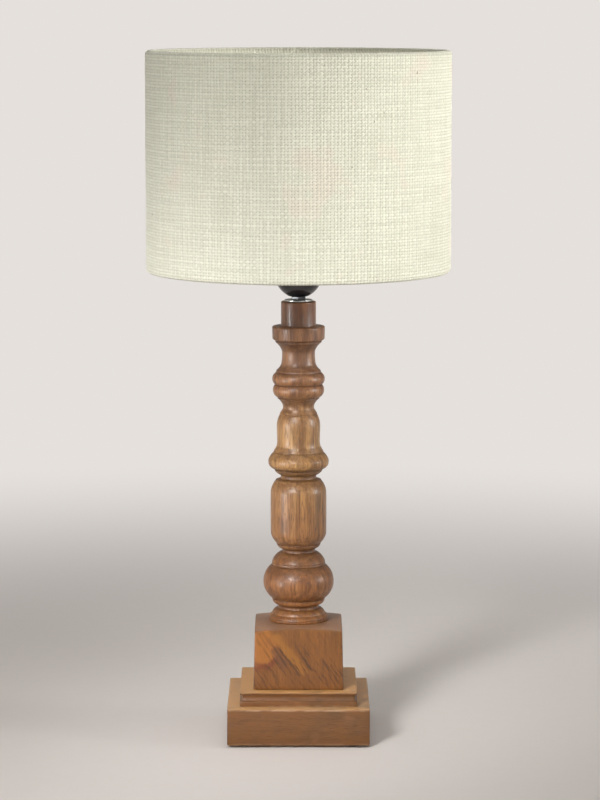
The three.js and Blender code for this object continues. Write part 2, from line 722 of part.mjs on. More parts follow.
// Fabric turned in over each hoop: a wall with a hem folded back inside at both rims.
function shadeFabric() {
  const top = SHADE_HEIGHT;
  const t = FABRIC_THICKNESS;
  const soft = FABRIC_THICKNESS;
  const wall = turned([
    [SHADE_RADIUS - soft, 0],
    [SHADE_RADIUS, soft],
    [SHADE_RADIUS, top - soft],
    [SHADE_RADIUS - soft, top],
    [hemInside + soft / 2, top],
    [hemInside, top - soft / 2],
    [hemInside, top - HEM_DEPTH],
    [hemOutside, top - HEM_DEPTH],
    [hemOutside, top - t],
    [fabricInside, top - t],
    [fabricInside, t],
    [hemOutside, t],
    [hemOutside, HEM_DEPTH],
    [hemInside, HEM_DEPTH],
    [hemInside, soft / 2],
    [hemInside + soft / 2, 0],
  ], SIDES_SHADE);
  const half = SPOKE_WIRE_RADIUS + SPOKE_NOTCH_MARGIN;
  const depth = 2 * (hoopCentre - hemInside);
  const notches = spokeAngles.map((angle) => {
    const notch = new THREE.BoxGeometry(depth, 2 * half, HEM_DEPTH);
    return notch.translate(hemInside, 0, HEM_DEPTH / 2 + hoopLift - half).rotateZ(angle);
  });
  return cut(wall, ...notches);
}

// The first spoke points to the rear.
const spokeAngles = Array.from({ length: SPOKE_COUNT }, (_, i) => Math.PI * (0.5 + (2 * i) / SPOKE_COUNT));

const liningHeight = SHADE_HEIGHT - 2 * (FABRIC_THICKNESS + SEAT_GAP);
const shadeLining = () => tube(liningOutside, liningInside, liningHeight, SIDES_SHADE);

function hoop() {
  const section = [];
  for (let i = 0; i < SIDES_WIRE; i += 1) {
    const angle = (2 * Math.PI * i) / SIDES_WIRE;
    section.push([hoopCentre + HOOP_WIRE_RADIUS * Math.cos(angle), HOOP_WIRE_RADIUS * Math.sin(angle)]);
  }
  return turned(section, SIDES_SHADE);
}

// A spoke along +X from the fitter's rim out to the lower hoop, falling to the hoop's height.
const fitterMiddle = fitterBase + FITTER_THICKNESS / 2;
const spokeInner = fitterOutside + SEAT_GAP;
const spokeOuter = hoopCentre - HOOP_WIRE_RADIUS - SEAT_GAP;
const spokeFall = fitterMiddle - (shadeBase + hoopLift);

function spoke() {
  const run = spokeOuter - spokeInner;
  const path = new THREE.LineCurve3(
    new THREE.Vector3(spokeInner, 0, 0),
    new THREE.Vector3(spokeInner + run, 0, -spokeFall),
  );
  const section = new THREE.Shape();
  section.absarc(0, 0, SPOKE_WIRE_RADIUS, 0, 2 * Math.PI);
  return new THREE.ExtrudeGeometry(section, { steps: 1, curveSegments: SIDES_SMALL, extrudePath: path });
}

const fitter = () => tube(fitterOutside, fitterHole, FITTER_THICKNESS, SIDES_FITTING);

function clampRing() {
  const lip = SEAT_GAP * 3;
  const bore = BARREL_RADIUS + RING_PLAY;
  return turned([
    [bore, 0],
    [ringRadius, 0],
    [ringRadius, RING_HEIGHT - lip],
    [ringRadius - lip, RING_HEIGHT],
    [bore, RING_HEIGHT],
  ], SIDES_FITTING);
}

// Assembly

function node(name, finishName, geometry, position = [0, 0, 0], turn = 0) {
  const { color, roughness, metalness } = FINISHES[finishName];
  const material = new THREE.MeshStandardMaterial({ color, roughness, metalness });
  const mesh = new THREE.Mesh(geometryOf(solidOf(geometry)), material);
  mesh.name = name;
  mesh.position.set(...position);
  mesh.rotation.z = turn;
  return mesh;
}

function base() {
  const group = new THREE.Group();
  const corners = ['front_left', 'front_right', 'rear_right', 'rear_left'];
  const padPlace = LOWER_WIDTH / 2 - PAD_INSET;
  corners.forEach((corner, i) => {
    const [sx, sy] = [Math.sign(screwPlaces[i][0]), Math.sign(screwPlaces[i][1])];
    const pad = disc(PAD_RADIUS, PAD_THICKNESS, SIDES_SMALL * 2);
    group.add(node(`foot_pad_${corner}`, 'felt', pad, [sx * padPlace, sy * padPlace, 0]));
    const place = [...screwPlaces[i], lowerBase + SCREW_HEAD_DEPTH];
    group.add(node(`plinth_screw_${corner}`, 'zinc', plinthScrew(), place));
  });
  group.add(node('plinth_lower', 'wood', lowerTier(), [0, 0, lowerBase]));
  group.add(node('plinth_upper', 'wood', upperTier(), [0, 0, upperBase]));
  group.add(node('turned_column', 'wood', turnedColumn(), [0, 0, columnBase]));
  ['left', 'right'].forEach((side, i) => {
    const dowelBase = upperTop - DOWEL_IN_TIER + SEAT_GAP;
    group.add(node(`dowel_${side}`, 'wood', dowel(), [...dowelPlaces[i], dowelBase]));
  });
  const bushingStart = LOWER_WIDTH / 2 + SEAT_GAP - BUSHING_LENGTH;
  group.add(node('cord_bushing', 'nylon', cordBushing(), [0, bushingStart, lowerBase + CORD_HOLE_HEIGHT]));
  group.add(node('threaded_pipe', 'zinc', tube(PIPE_RADIUS, PIPE_BORE, pipeTop - pipeBase, SIDES_SMALL * 2),
    [0, 0, pipeBase]));
  group.add(node('base_washer', 'zinc', washer(), [0, 0, baseWasherBase]));
  group.add(node('base_nut', 'zinc', hexNut(), [0, 0, baseNutBase]));
  group.add(node('top_washer', 'zinc', washer(), [0, 0, topWasherBase]));
  group.add(node('top_nut', 'darkSteel', hexNut(), [0, 0, topNutBase]));
  return group;
}

function lampholder() {
  const group = new THREE.Group();
  group.add(node('lampholder_cap', 'bakelite', lampholderCap(), [0, 0, capBase]));
  group.add(node('cap_grub_screw', 'zinc', grubScrew(), [0, PIPE_RADIUS + SEAT_GAP, capBase + CAP_FLOOR / 2]));
  group.add(node('lampholder_core', 'porcelain', lampholderCore(), [0, 0, coreBase]));
  ['line', 'neutral'].forEach((wire, i) => {
    const x = i === 0 ? -TERMINAL_PLACE : TERMINAL_PLACE;
    const place = [x, 0, coreBase - SEAT_GAP - TERMINAL_HEAD_HEIGHT];
    group.add(node(`terminal_screw_${wire}`, 'brass', terminalScrew(), place));
  });
  group.add(node('lampholder_skirt', 'bakelite', lampholderSkirt(), [0, 0, skirtBase]));
  group.add(node('screw_shell', 'brass', screwShell(), [0, 0, shellBase]));
  group.add(node('centre_contact', 'brass', contactTongue(), [0, 0, shellBase]));
  return group;
}

function bulb() {
  const group = new THREE.Group();
  group.add(node('bulb_tip_contact', 'brass', bulbTip(), [0, 0, tipBase]));
  group.add(node('bulb_insulator', 'glassBead', bulbInsulator(), [0, 0, insulatorBase]));
  group.add(node('bulb_screw_cap', 'nickel', bulbCap(), [0, 0, bulbCapBase]));
  group.add(node('bulb_housing', 'bulbShell', bulbHousing(), [0, 0, housingBase]));
  group.add(node('bulb_globe', 'frost', bulbGlobe(), [0, 0, globeBase]));
  return group;
}

function shade() {
  const group = new THREE.Group();
  group.add(node('shade_fabric', 'jute', shadeFabric(), [0, 0, shadeBase]));
  group.add(node('shade_lining', 'lining', shadeLining(), [0, 0, shadeBase + FABRIC_THICKNESS + SEAT_GAP]));
  group.add(node('bottom_hoop', 'frameWire', hoop(), [0, 0, shadeBase + hoopLift]));
  group.add(node('top_hoop', 'frameWire', hoop(), [0, 0, shadeBase + SHADE_HEIGHT - hoopLift]));
  group.add(node('fitter_ring', 'frameWire', fitter(), [0, 0, fitterBase]));
  spokeAngles.forEach((angle, i) => {
    group.add(node(`spoke_${i + 1}`, 'frameWire', spoke(), [0, 0, fitterMiddle], angle));
  });
  return group;
}

const lamp = new THREE.Group();
lamp.add(base());
lamp.add(lampholder());
lamp.add(bulb());
lamp.add(shade());
lamp.add(node('shade_clamp_ring', 'bakelite', clampRing(), [0, 0, ringBase]));

export default lamp;
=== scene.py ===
# %% [markdown]
# # A table lamp with a turned wooden stem and a jute drum shade
# The lamp stands on a plinth of two square tiers. A turned stem with a square block at its
# foot carries a threaded pipe, a black lampholder, a bulb, and a drum shade of coarse jute
# on a wire frame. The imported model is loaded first, because every piece made here takes its
# place from it, in metres, and moves with one of its bodies.

# %% Load the frame
import math
import bmesh
import bpy
import numpy as np
from mathutils import Matrix, Vector, noise


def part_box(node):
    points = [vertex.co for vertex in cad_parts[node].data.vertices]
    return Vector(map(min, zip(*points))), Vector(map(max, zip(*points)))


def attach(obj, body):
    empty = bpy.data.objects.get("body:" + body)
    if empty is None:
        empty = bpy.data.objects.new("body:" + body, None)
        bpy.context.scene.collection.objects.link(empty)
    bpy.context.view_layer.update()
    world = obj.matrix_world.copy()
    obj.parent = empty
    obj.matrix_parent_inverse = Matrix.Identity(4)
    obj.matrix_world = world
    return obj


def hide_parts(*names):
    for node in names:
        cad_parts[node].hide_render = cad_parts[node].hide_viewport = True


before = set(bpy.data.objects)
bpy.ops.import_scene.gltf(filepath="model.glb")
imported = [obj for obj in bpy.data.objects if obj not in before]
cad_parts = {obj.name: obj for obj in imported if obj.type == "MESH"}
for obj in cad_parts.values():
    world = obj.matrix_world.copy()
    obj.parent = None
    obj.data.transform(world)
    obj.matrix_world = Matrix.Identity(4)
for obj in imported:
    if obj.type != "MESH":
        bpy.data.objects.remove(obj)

MM = 0.001
scene = bpy.context.scene
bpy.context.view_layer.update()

# %% [markdown]
# ## Camera, floor and light
# The lamp is looked at from the front with a long lens, a little above its middle, so the
# upright lines stay nearly parallel. A wide floor of matt pale paint takes the contact shadow
# and fades into the backdrop. Five soft boxes do the work of a studio. A key from the right
# brightens that side of the shade, two on the left light the wood, a narrow strip on the
# right draws a second highlight down the turned stem, and a wide one hangs above. All but
# the last are narrow beams, as if they had a grid in front, so that each lights its own part
# of the lamp. The world gives the even fill.

# %% Camera
CAMERA_DISTANCE = 3.0
CAMERA_HEIGHT = 0.753
CAMERA_PITCH = 7.8
CAMERA_ASIDE = 0.0015
LENS = 135

camera = bpy.data.objects.new("camera", bpy.data.cameras.new("camera"))
camera.data.lens = LENS
camera.data.sensor_width = 36
camera.location = (CAMERA_ASIDE, -CAMERA_DISTANCE, CAMERA_HEIGHT)
camera.rotation_euler = (math.radians(90 - CAMERA_PITCH), 0, 0)
scene.collection.objects.link(camera)
scene.camera = camera
scene.view_settings.view_transform = "Standard"
print("camera", tuple(camera.location), "pitch", CAMERA_PITCH)


# %% Colours are written as screen colours and turned into light
def tint(red, green, blue):
    """A screen colour of 0 to 255 as the linear colour that the shaders use."""
    def linear(value):
        share = value / 255
        return share / 12.92 if share <= 0.04045 else ((share + 0.055) / 1.055) ** 2.4
    return (linear(red), linear(green), linear(blue), 1.0)


# %% Node trees are built with short words
class Tree:
    """Adds nodes to one tree. Each method that adds one returns the socket with its result."""

    def __init__(self, tree):
        self.tree = tree

    def feed(self, socket, value):
        """Links a socket or sets a plain value on it. None leaves it as it is."""
        if isinstance(value, bpy.types.NodeSocket):
            self.tree.links.new(value, socket)
        elif value is not None:
            socket.default_value = value

    def add(self, kind, output=0, inputs=None, **settings):
        node = self.tree.nodes.new(kind)
        for setting, value in settings.items():
            setattr(node, setting, value)
        for socket, value in (inputs or {}).items():
            self.feed(node.inputs[socket], value)
        return node.outputs[output]

    def math(self, operation, first, second=None, third=None):
        return self.add("ShaderNodeMath", 0, {0: first, 1: second, 2: third}, operation=operation)

    def times(self, first, *others):
        """All its arguments multiplied together, from the left."""
        for other in others:
            first = self.math("MULTIPLY", first, other)
        return first

    def hypot(self, first, second):
        """The long side of a right triangle, such as a distance from an axis."""
        squares = [self.times(side, side) for side in (first, second)]
        return self.math("SQRT", self.math("ADD", *squares))

    def axes(self, place):
        """The X, Y and Z of a vector."""
        return tuple(self.add("ShaderNodeSeparateXYZ", 0, {0: place}).node.outputs)


# %% A finish is one material
class Finish(Tree):
    """One material. Its coat is the colour so far, and lay() puts one more colour over it."""

    def __init__(self, name, roughness=0.5, metallic=0.0, **sockets):
        self.material = bpy.data.materials.new(name)
        self.material.use_nodes = True
        super().__init__(self.material.node_tree)
        self.shader = self.tree.nodes["Principled BSDF"]
        self.shader.inputs["Roughness"].default_value = roughness
        self.shader.inputs["Metallic"].default_value = metallic
        for socket, value in sockets.items():
            self.shader.inputs[socket.replace("_", " ")].default_value = value
        self.place = self.add("ShaderNodeTexCoord", "Object")
        self.coat = None

    def stretched(self, scale, turn=(0, 0, 0), place=None):
        inputs = {"Vector": place or self.place, "Scale": scale, "Rotation": turn}
        return self.add("ShaderNodeMapping", 0, inputs)

    def noise(self, place, scale, detail=3, roughness=0.5, distortion=0.0):
        inputs = {"Vector": place, "Scale": scale, "Detail": detail,
                  "Roughness": roughness, "Distortion": distortion}
        return self.add("ShaderNodeTexNoise", "Fac", inputs)

    def between(self, value, low, high, start=0.0, end=1.0):
        """Spreads value's stretch from low to high over start to end, with soft ends."""
        inputs = {"Value": value, "From Min": low, "From Max": high, "To Min": start, "To Max": end}
        return self.add("ShaderNodeMapRange", "Result", inputs, interpolation_type="SMOOTHSTEP")

    def mix(self, share, first, second, blend="MIX"):
        inputs = {"Factor": share, 6: first, 7: second}
        return self.add("ShaderNodeMix", 2, inputs, data_type="RGBA", blend_type=blend)

    def lay(self, over, share, strength=None):
        """Lays a colour over the coat. share says where, and strength how much of it."""
        if strength is not None:
            share = self.times(share, strength)
        self.coat = self.mix(share, self.coat, over)

    def ramp(self, value, stops):
        colours = self.add("ShaderNodeValToRGB", "Color", {"Fac": value})
        points = colours.node.color_ramp.elements
        while len(points) < len(stops):
            points.new(0.5)
        for point, (position, colour) in zip(points, stops):
            point.position = position
            point.color = colour
        return colours

    def colour(self, value):
        self.feed(self.shader.inputs["Base Color"], value)

    def roughness(self, value):
        self.feed(self.shader.inputs["Roughness"], value)

    def relief(self, *layers):
        """Each layer is (height, depth in metres). One bump node feeds the next."""
        normal = None
        for height, depth in layers:
            inputs = {"Height": height, "Distance": depth, "Strength": 1.0, "Normal": normal}
            normal = self.add("ShaderNodeBump", "Normal", inputs)
        self.feed(self.shader.inputs["Normal"], normal)


# %% Floor: matt paint that fades into the backdrop and is clear from below
BACKGROUND = tint(229, 224, 220)
FLOOR_RADIUS = 30
FLOOR_SIDES = 96
FLOOR_DROP = 0.2 * MM
FADE_START = 0.35
FADE_END = 1.8
UNDERSIDE_REACH = 45 * MM

paint = Finish("floor_paint", roughness=0.8)
paint.colour(paint.mix(paint.noise(paint.place, 60), tint(226, 221, 217), BACKGROUND))
x, y, _ = paint.axes(paint.place)
fade = paint.between(paint.hypot(x, y), FADE_START, FADE_END)
glow = paint.add("ShaderNodeEmission", 0, {"Color": BACKGROUND})
faded = paint.add("ShaderNodeMixShader", 0, {"Fac": fade, 1: paint.shader.outputs[0], 2: glow})
# Light that starts just above the floor passes it too, so the underside isn't black from below.
camera_ray = paint.add("ShaderNodeLightPath", "Is Camera Ray")
starts_near = paint.math("LESS_THAN", camera_ray.node.outputs["Ray Length"], UNDERSIDE_REACH)
passing = paint.times(paint.math("SUBTRACT", 1.0, camera_ray), starts_near)
from_below = paint.add("ShaderNodeNewGeometry", "Backfacing")
open_share = paint.math("MAXIMUM", from_below, passing)
clear = paint.add("ShaderNodeBsdfTransparent")
one_sided = paint.add("ShaderNodeMixShader", 0, {"Fac": open_share, 1: faded, 2: clear})
paint.feed(paint.tree.nodes["Material Output"].inputs["Surface"], one_sided)

angles = [2 * math.pi * i / FLOOR_SIDES for i in range(FLOOR_SIDES)]
rim = [(FLOOR_RADIUS * math.cos(a), FLOOR_RADIUS * math.sin(a), -FLOOR_DROP) for a in angles]
mesh = bpy.data.meshes.new("floor")
mesh.from_pydata(rim, [], [list(range(FLOOR_SIDES))])
mesh.materials.append(paint.material)
floor = bpy.data.objects.new("floor", mesh)
scene.collection.objects.link(floor)
print("floor fades from", FADE_START, "to", FADE_END, "m")

# %% World: the backdrop's colour to the camera, a weaker fill to the lamp
FILL_STRENGTH = 0.36

world = bpy.data.worlds.new("studio")
world.use_nodes = True
scene.world = world
sky = Tree(world.node_tree)
seen = sky.tree.nodes["Background"]
seen.inputs["Color"].default_value = BACKGROUND
fill = sky.add("ShaderNodeBackground", 0, {"Color": BACKGROUND, "Strength": FILL_STRENGTH})
camera_ray = sky.add("ShaderNodeLightPath", "Is Camera Ray")
shown = sky.add("ShaderNodeMixShader", 0, {"Fac": camera_ray, 1: fill, 2: seen.outputs[0]})
sky.feed(sky.tree.nodes["World Output"].inputs["Surface"], shown)
print("fill", FILL_STRENGTH)


# %% Soft boxes
def soft_box(name, place, aim, width, height, power, colour, spread=180):
    """An area light at place that faces aim. The spread of its beam is in degrees."""
    data = bpy.data.lights.new(name, "AREA")
    data.shape = "RECTANGLE"
    data.size = width
    data.size_y = height
    data.energy = power
    data.color = colour
    data.spread = math.radians(spread)
    light = bpy.data.objects.new(name, data)
    light.location = place
    light.rotation_euler = (Vector(aim) - Vector(place)).to_track_quat("-Z", "Y").to_euler()
    scene.collection.objects.link(light)


BLOCK_MIDDLE = (0, 0, 0.08)
STEM_MIDDLE = (0, 0, 0.20)
BELL_MIDDLE = (0, 0, 0.30)
SHADE_MIDDLE = (0, 0, 0.58)
WHITE = (1.0, 0.98, 0.97)
soft_box("shade_key", (2.4, -0.55, 0.95), SHADE_MIDDLE, 0.6, 0.6, 1.5, (1.0, 0.975, 0.94), 24)
soft_box("stem_key", (-0.85, -1.75, 1.15), BLOCK_MIDDLE, 0.5, 0.8, 1.30, WHITE, 24)
soft_box("stem_side", (-1.3, -0.75, 0.26), BELL_MIDDLE, 0.2, 0.36, 0.22, WHITE, 19)
soft_box("stem_strip", (0.75, -1.2, 0.50), STEM_MIDDLE, 0.12, 0.7, 0.07, (1.0, 0.98, 0.95), 40)
soft_box("top", (0.1, -0.3, 2.4), SHADE_MIDDLE, 1.4, 1.4, 12, (1.0, 0.98, 0.96))

# %% [markdown]
# ## Helpers for solid pieces
# Most pieces of a lamp are turned, so one helper spins an outline round the upright axis.
# The outline can be written with sharp corners, because a second helper rounds each corner
# with a small arc, as sandpaper and wear do. The poles on the axis are closed with one point,
# so no piece has a hole or a loose seam.


# %% A mesh from points and faces
def piece(name, points, faces, finish=None, smooth_below=35):
    mesh = bpy.data.meshes.new(name)
    mesh.from_pydata([tuple(point) for point in points], [], faces)
    mesh.validate()
    mesh.update()
    mesh.polygons.foreach_set("use_smooth", [True] * len(mesh.polygons))
    mesh.set_sharp_from_angle(angle=math.radians(smooth_below))
    made = bpy.data.objects.new(name, mesh)
    scene.collection.objects.link(made)
    if finish:
        mesh.materials.append(finish)
    return made


# %% Outlines
def arc(start, end, bulge, steps=10):
    """Points after start on a circular arc to end; bulge is how far its middle stands off the chord."""
    if abs(bulge) < 1e-9:
        return [end]
    (x0, y0), (x1, y1) = start, end
    chord = math.hypot(x1 - x0, y1 - y0)
    radius = (chord * chord / 4 + bulge * bulge) / (2 * abs(bulge))
    half = math.asin(min(1, chord / (2 * radius)))
    if abs(bulge) > radius:
        half = math.pi - half
    side = 1 if bulge > 0 else -1
    along = ((x1 - x0) / chord, (y1 - y0) / chord)
    out = (along[1] * side, -along[0] * side)
    mid = ((x0 + x1) / 2, (y0 + y1) / 2)
    reach = radius - abs(bulge)
    centre = (mid[0] - out[0] * reach, mid[1] - out[1] * reach)
    points = []
    for i in range(1, steps + 1):
        angle = -half + 2 * half * i / steps
        across, up = radius * math.cos(angle), radius * math.sin(angle)
        points.append((centre[0] + out[0] * across + along[0] * up,
                       centre[1] + out[1] * across + along[1] * up))
    return points


def softened(outline, radius, steps=3, sharper_than=25, closed=False):
    """Rounds the corners of an outline that turn more than sharper_than degrees."""
    result = []
    count = len(outline)
    for i, here in enumerate(outline):
        if not closed and i in (0, count - 1):
            result.append(here)
            continue
        before, after = outline[i - 1], outline[(i + 1) % count]
        back = (before[0] - here[0], before[1] - here[1])
        ahead = (after[0] - here[0], after[1] - here[1])
        back_length, ahead_length = math.hypot(*back), math.hypot(*ahead)
        if min(back_length, ahead_length) < 1e-9:
            continue
        cosine = (back[0] * ahead[0] + back[1] * ahead[1]) / (back_length * ahead_length)
        turn = 180 - math.degrees(math.acos(max(-1, min(1, cosine))))
        if turn < sharper_than:
            result.append(here)
            continue
        reach = min(radius, 0.45 * back_length, 0.45 * ahead_length)
        first = (here[0] + back[0] / back_length * reach, here[1] + back[1] / back_length * reach)
        last = (here[0] + ahead[0] / ahead_length * reach, here[1] + ahead[1] / ahead_length * reach)
        for k in range(steps + 1):
            t = k / steps
            keep = (1 - t) ** 2, 2 * t * (1 - t), t * t
            result.append((keep[0] * first[0] + keep[1] * here[0] + keep[2] * last[0],
                           keep[0] * first[1] + keep[1] * here[1] + keep[2] * last[1]))
    return result


# %% Turning an outline into a solid
def turned(name, outline, sides, finish=None, base=0.0, closed=False, smooth_below=35):
    """Spins an outline of (radius, height), in metres. It ends on the axis, or closes on itself."""
    points, rings = [], []
    for radius, height in outline:
        if radius < 1e-7:
            rings.append([len(points)])
            points.append((0, 0, base + height))
            continue
        rings.append(list(range(len(points), len(points) + sides)))
        for i in range(sides):
            angle = 2 * math.pi * i / sides
            points.append((radius * math.cos(angle), radius * math.sin(angle), base + height))
    pairs = list(zip(rings, rings[1:]))
    if closed:
        pairs.append((rings[-1], rings[0]))
    faces = []
    for low, high in pairs:
        for i in range(sides):
            j = (i + 1) % sides
            if len(low) == 1 and len(high) > 1:
                faces.append((low[0], high[j], high[i]))
            elif len(high) == 1 and len(low) > 1:
                faces.append((low[i], low[j], high[0]))
            elif len(low) > 1:
                faces.append((low[i], low[j], high[j], high[i]))
    return piece(name, points, faces, finish, smooth_below)


def mm(outline):
    return [(radius * MM, height * MM) for radius, height in outline]

# %% [markdown]
# ## The wood
# The stem and plinth are one warm brown hardwood with a satin lacquer. What the eye reads as
# wood is several things at once: broad bands of growth rings that wander, fine fibres drawn
# out along the grain, short dark pores, and patches where the stain took deeper. Each is its
# own noise, stretched along the grain, and all read the piece's own place, so the grain runs
# through the solid as it does through a real block instead of being wrapped round it.

# %% The shared grain
RING_SPACING = 0.0075
RING_WANDER = 0.035
FIBRE_DEPTH = 0.12 * MM
PORE_DEPTH = 0.16 * MM
PORE_BROWN = tint(52, 32, 20)
GRAIN_TURN = {"Z": (0, 0, 0), "X": (0, math.radians(-90), 0)}


def wood(name, base, dark, pale, along="Z", pith=(0.07, 0.16), seed=0.0, figure=1.0):
    """Wood with its grain along an axis. pith is where the tree's middle was, beside the piece."""
    finish = Finish(name, roughness=0.42, Coat_Weight=0.24, Coat_Roughness=0.30)
    grain = finish.add("ShaderNodeMapping", 0, {
        "Vector": finish.place, "Rotation": GRAIN_TURN[along],
        "Location": (seed, seed * 0.7, seed * 1.3)})

    def drawn(share, *settings):
        """A noise drawn out along the grain. A small share makes long fibres."""
        return finish.noise(finish.stretched((1, 1, share), place=grain), *settings)

    wander = drawn(0.35, 22, 3, 0.55)
    x, y, _ = finish.axes(grain)
    from_pith = finish.hypot(finish.math("SUBTRACT", x, pith[0] + seed),
                             finish.math("SUBTRACT", y, pith[1] + seed * 0.7))
    bent = finish.math("MULTIPLY_ADD", wander, RING_WANDER, from_pith)
    wave = finish.math("SINE", finish.times(bent, 2 * math.pi / RING_SPACING))
    rings = finish.math("MULTIPLY_ADD", wave, 0.5, 0.5)
    fibres = drawn(0.035, 900, 4, 0.65)
    streaks = drawn(0.07, 150, 4, 0.62, 0.3)
    lines = drawn(0.045, 420, 3, 0.6)
    pits = finish.between(drawn(0.07, 1500, 2, 0.5), 0.57, 0.68)
    fine = 0.3 + 0.7 * figure
    finish.coat = base
    finish.lay(dark, finish.between(rings, 0.15, 1.0, 0, 0.40 * figure))
    finish.lay(dark, finish.between(streaks, 0.50, 0.74, 0, 0.75 * figure))
    finish.lay(pale, finish.between(streaks, 0.46, 0.26, 0, 0.65 * figure))
    finish.lay(dark, finish.between(lines, 0.52, 0.68, 0, 0.62 * figure))
    finish.lay(pale, finish.between(lines, 0.44, 0.32, 0, 0.40 * figure))
    finish.lay(dark, finish.between(fibres, 0.42, 0.66, 0, 0.42 * fine))
    finish.lay(PORE_BROWN, pits, 0.70 * fine)
    finish.roughness(finish.between(fibres, 0.3, 0.7, 0.36, 0.52))
    finish.relief((fibres, FIBRE_DEPTH), (finish.times(pits, -1), PORE_DEPTH))
    return finish


# %% Stem wood: the tone changes from the orange block to the pale bell and the dark top
WOOD_BASE = tint(190, 147, 110)
WOOD_DARK = tint(112, 74, 48)
WOOD_PALE = tint(228, 190, 150)
TONES = [
    (0, tint(158, 120, 58)),
    (62, tint(162, 124, 66)),
    (72, tint(226, 198, 152)),
    (105, tint(188, 160, 122)),
    (178, tint(206, 190, 152)),
    (228, tint(216, 208, 168)),
    (255, tint(224, 220, 184)),
    (303, tint(190, 168, 140)),
    (332, tint(186, 172, 156)),
    (357, tint(170, 150, 126)),
    (380, tint(158, 130, 100)),
]
stem_low, stem_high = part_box("turned_column")
stem_wood = wood("stem_wood", WOOD_BASE, WOOD_DARK, WOOD_PALE)
x, _, z = stem_wood.axes(stem_wood.place)
share = stem_wood.add("ShaderNodeMapRange", "Result", {
    "Value": z, "From Min": stem_low.z, "From Max": stem_high.z})
stem_length = stem_high.z - stem_low.z
tone = stem_wood.ramp(share, [(height * MM / stem_length, colour) for height, colour in TONES])
stem_wood.coat = stem_wood.mix(1.0, stem_wood.coat, tone, "MULTIPLY")
print("stem tones", len(TONES), "over", round(stem_length, 3), "m")

# %% The block is cut where the grain turned: slashes lean across its front
in_block = stem_wood.between(z, stem_low.z + 0.069, stem_low.z + 0.060)
stem_wood.lay(tint(140, 92, 38), in_block, 0.42)
rise = stem_wood.math("SUBTRACT", z, stem_low.z)
wobble = stem_wood.noise(stem_wood.stretched((1, 1, 1)), 70, 3, 0.6)


def leaning(part_x, part_z, shift):
    """A distance measured along a slanted direction on the block's front, in metres."""
    measured = stem_wood.math("MULTIPLY_ADD", rise, part_z, stem_wood.times(x, part_x))
    return stem_wood.math("MULTIPLY_ADD", wobble, shift, measured)


across_slash = leaning(0.8, 0.6, 0.006)
along_slash = leaning(0.6, -0.8, 0.0)


def slash(middle, half_width, start, end):
    """A soft band beside the slanted direction, in millimetres. It fades at both ends."""
    away = stem_wood.math("ABSOLUTE", stem_wood.math("SUBTRACT", across_slash, middle * MM))
    near = stem_wood.between(away, half_width * MM, half_width * 0.3 * MM)
    from_start = stem_wood.between(along_slash, (start - 2) * MM, (start + 3) * MM)
    to_end = stem_wood.between(along_slash, (end + 2) * MM, (end - 3) * MM)
    return stem_wood.times(near, from_start, to_end, in_block)


# %% An amber knot on the block's left flank, with a burnt lower edge
KNOT_X = 0.037
KNOT_RISE = 0.042
KNOT_WIDTH = 0.015
KNOT_HEIGHT = 0.018
BURNT = 1.55

knot = stem_wood.hypot(
    stem_wood.times(stem_wood.math("ADD", x, KNOT_X), 1 / KNOT_WIDTH),
    stem_wood.times(stem_wood.math("SUBTRACT", rise, KNOT_RISE), 1 / KNOT_HEIGHT))
knot = stem_wood.math("MULTIPLY_ADD", wobble, 0.9, knot)
amber = stem_wood.times(stem_wood.between(knot, 1.8, 1.15), in_block)
edge = stem_wood.math("ABSOLUTE", stem_wood.math("SUBTRACT", knot, BURNT))
burn = stem_wood.times(stem_wood.between(edge, 0.25, 0.05),
                       stem_wood.between(rise, 0.036, 0.030), in_block)
stem_wood.lay(tint(164, 102, 38), amber, 0.70)
stem_wood.lay(tint(108, 52, 22), burn, 0.80)
stem_wood.lay(tint(156, 102, 36), slash(18, 6.5, -60, -8), 0.55)
stem_wood.lay(tint(94, 60, 40), slash(7, 6.5, -50, -26), 0.60)

tilted = stem_wood.stretched((1, 1, 1), (0, math.radians(33), 0))
slant = stem_wood.noise(stem_wood.stretched((1, 1, 0.12), place=tilted), 330, 4, 0.65)
ticks = stem_wood.times(stem_wood.between(slant, 0.50, 0.64),
                        stem_wood.between(rise, 0.062, 0.026, 0.25, 1.0), in_block)
stem_wood.lay(tint(72, 42, 18), ticks, 0.80)
stem_wood.lay(tint(66, 38, 18), slash(13, 1.5, -46, -10), 0.70)
stem_wood.lay(tint(66, 38, 18), slash(26, 1.6, -25, -7), 0.85)
print("block drawn")

# %% An olive patch on the right of the bell, painted light on the block's crown, and painted shade in the grooves
olive = stem_wood.noise(stem_wood.stretched((1, 1, 0.12)), 160, 3)
bell = stem_wood.times(stem_wood.between(z, 0.20, 0.235), stem_wood.between(z, 0.262, 0.245))
olive = stem_wood.times(stem_wood.times(stem_wood.between(x, 0.004, 0.026), bell),
                        stem_wood.between(olive, 0.46, 0.62))
stem_wood.lay(tint(76, 60, 38), olive, 0.6)
_, _, upward = stem_wood.axes(stem_wood.add("ShaderNodeNewGeometry", "Normal"))
# Painted light: the block's upward-facing crown is made paler, as if lit from above.
crown = stem_wood.times(stem_wood.between(upward, 0.90, 0.985), in_block)
stem_wood.lay(tint(172, 136, 110), crown, 0.65)
# Painted shade: the deeper a point lies in a groove, the darker it is painted.
groove_shade = stem_wood.add("ShaderNodeAttribute", "Fac", attribute_name="groove_shade")
stem_wood.lay(tint(66, 40, 24), groove_shade, 0.55)
stem_wood.colour(stem_wood.coat)
print("stem finish", len(stem_wood.tree.nodes), "nodes")

# %% [markdown]
# ## The stem: a square block that runs into a baluster
# The real stem starts as one square blank. The turner leaves the foot square and turns the
# rest, so the block's crown is a shallow dome and the mouldings rise from it without a joint.
# It could be a lathe shape set on a box, but the two would only touch. Here one skin is drawn
# ring by ring: square rings up the block, rings that turn from square to round over the dome,
# then round rings along the mouldings.

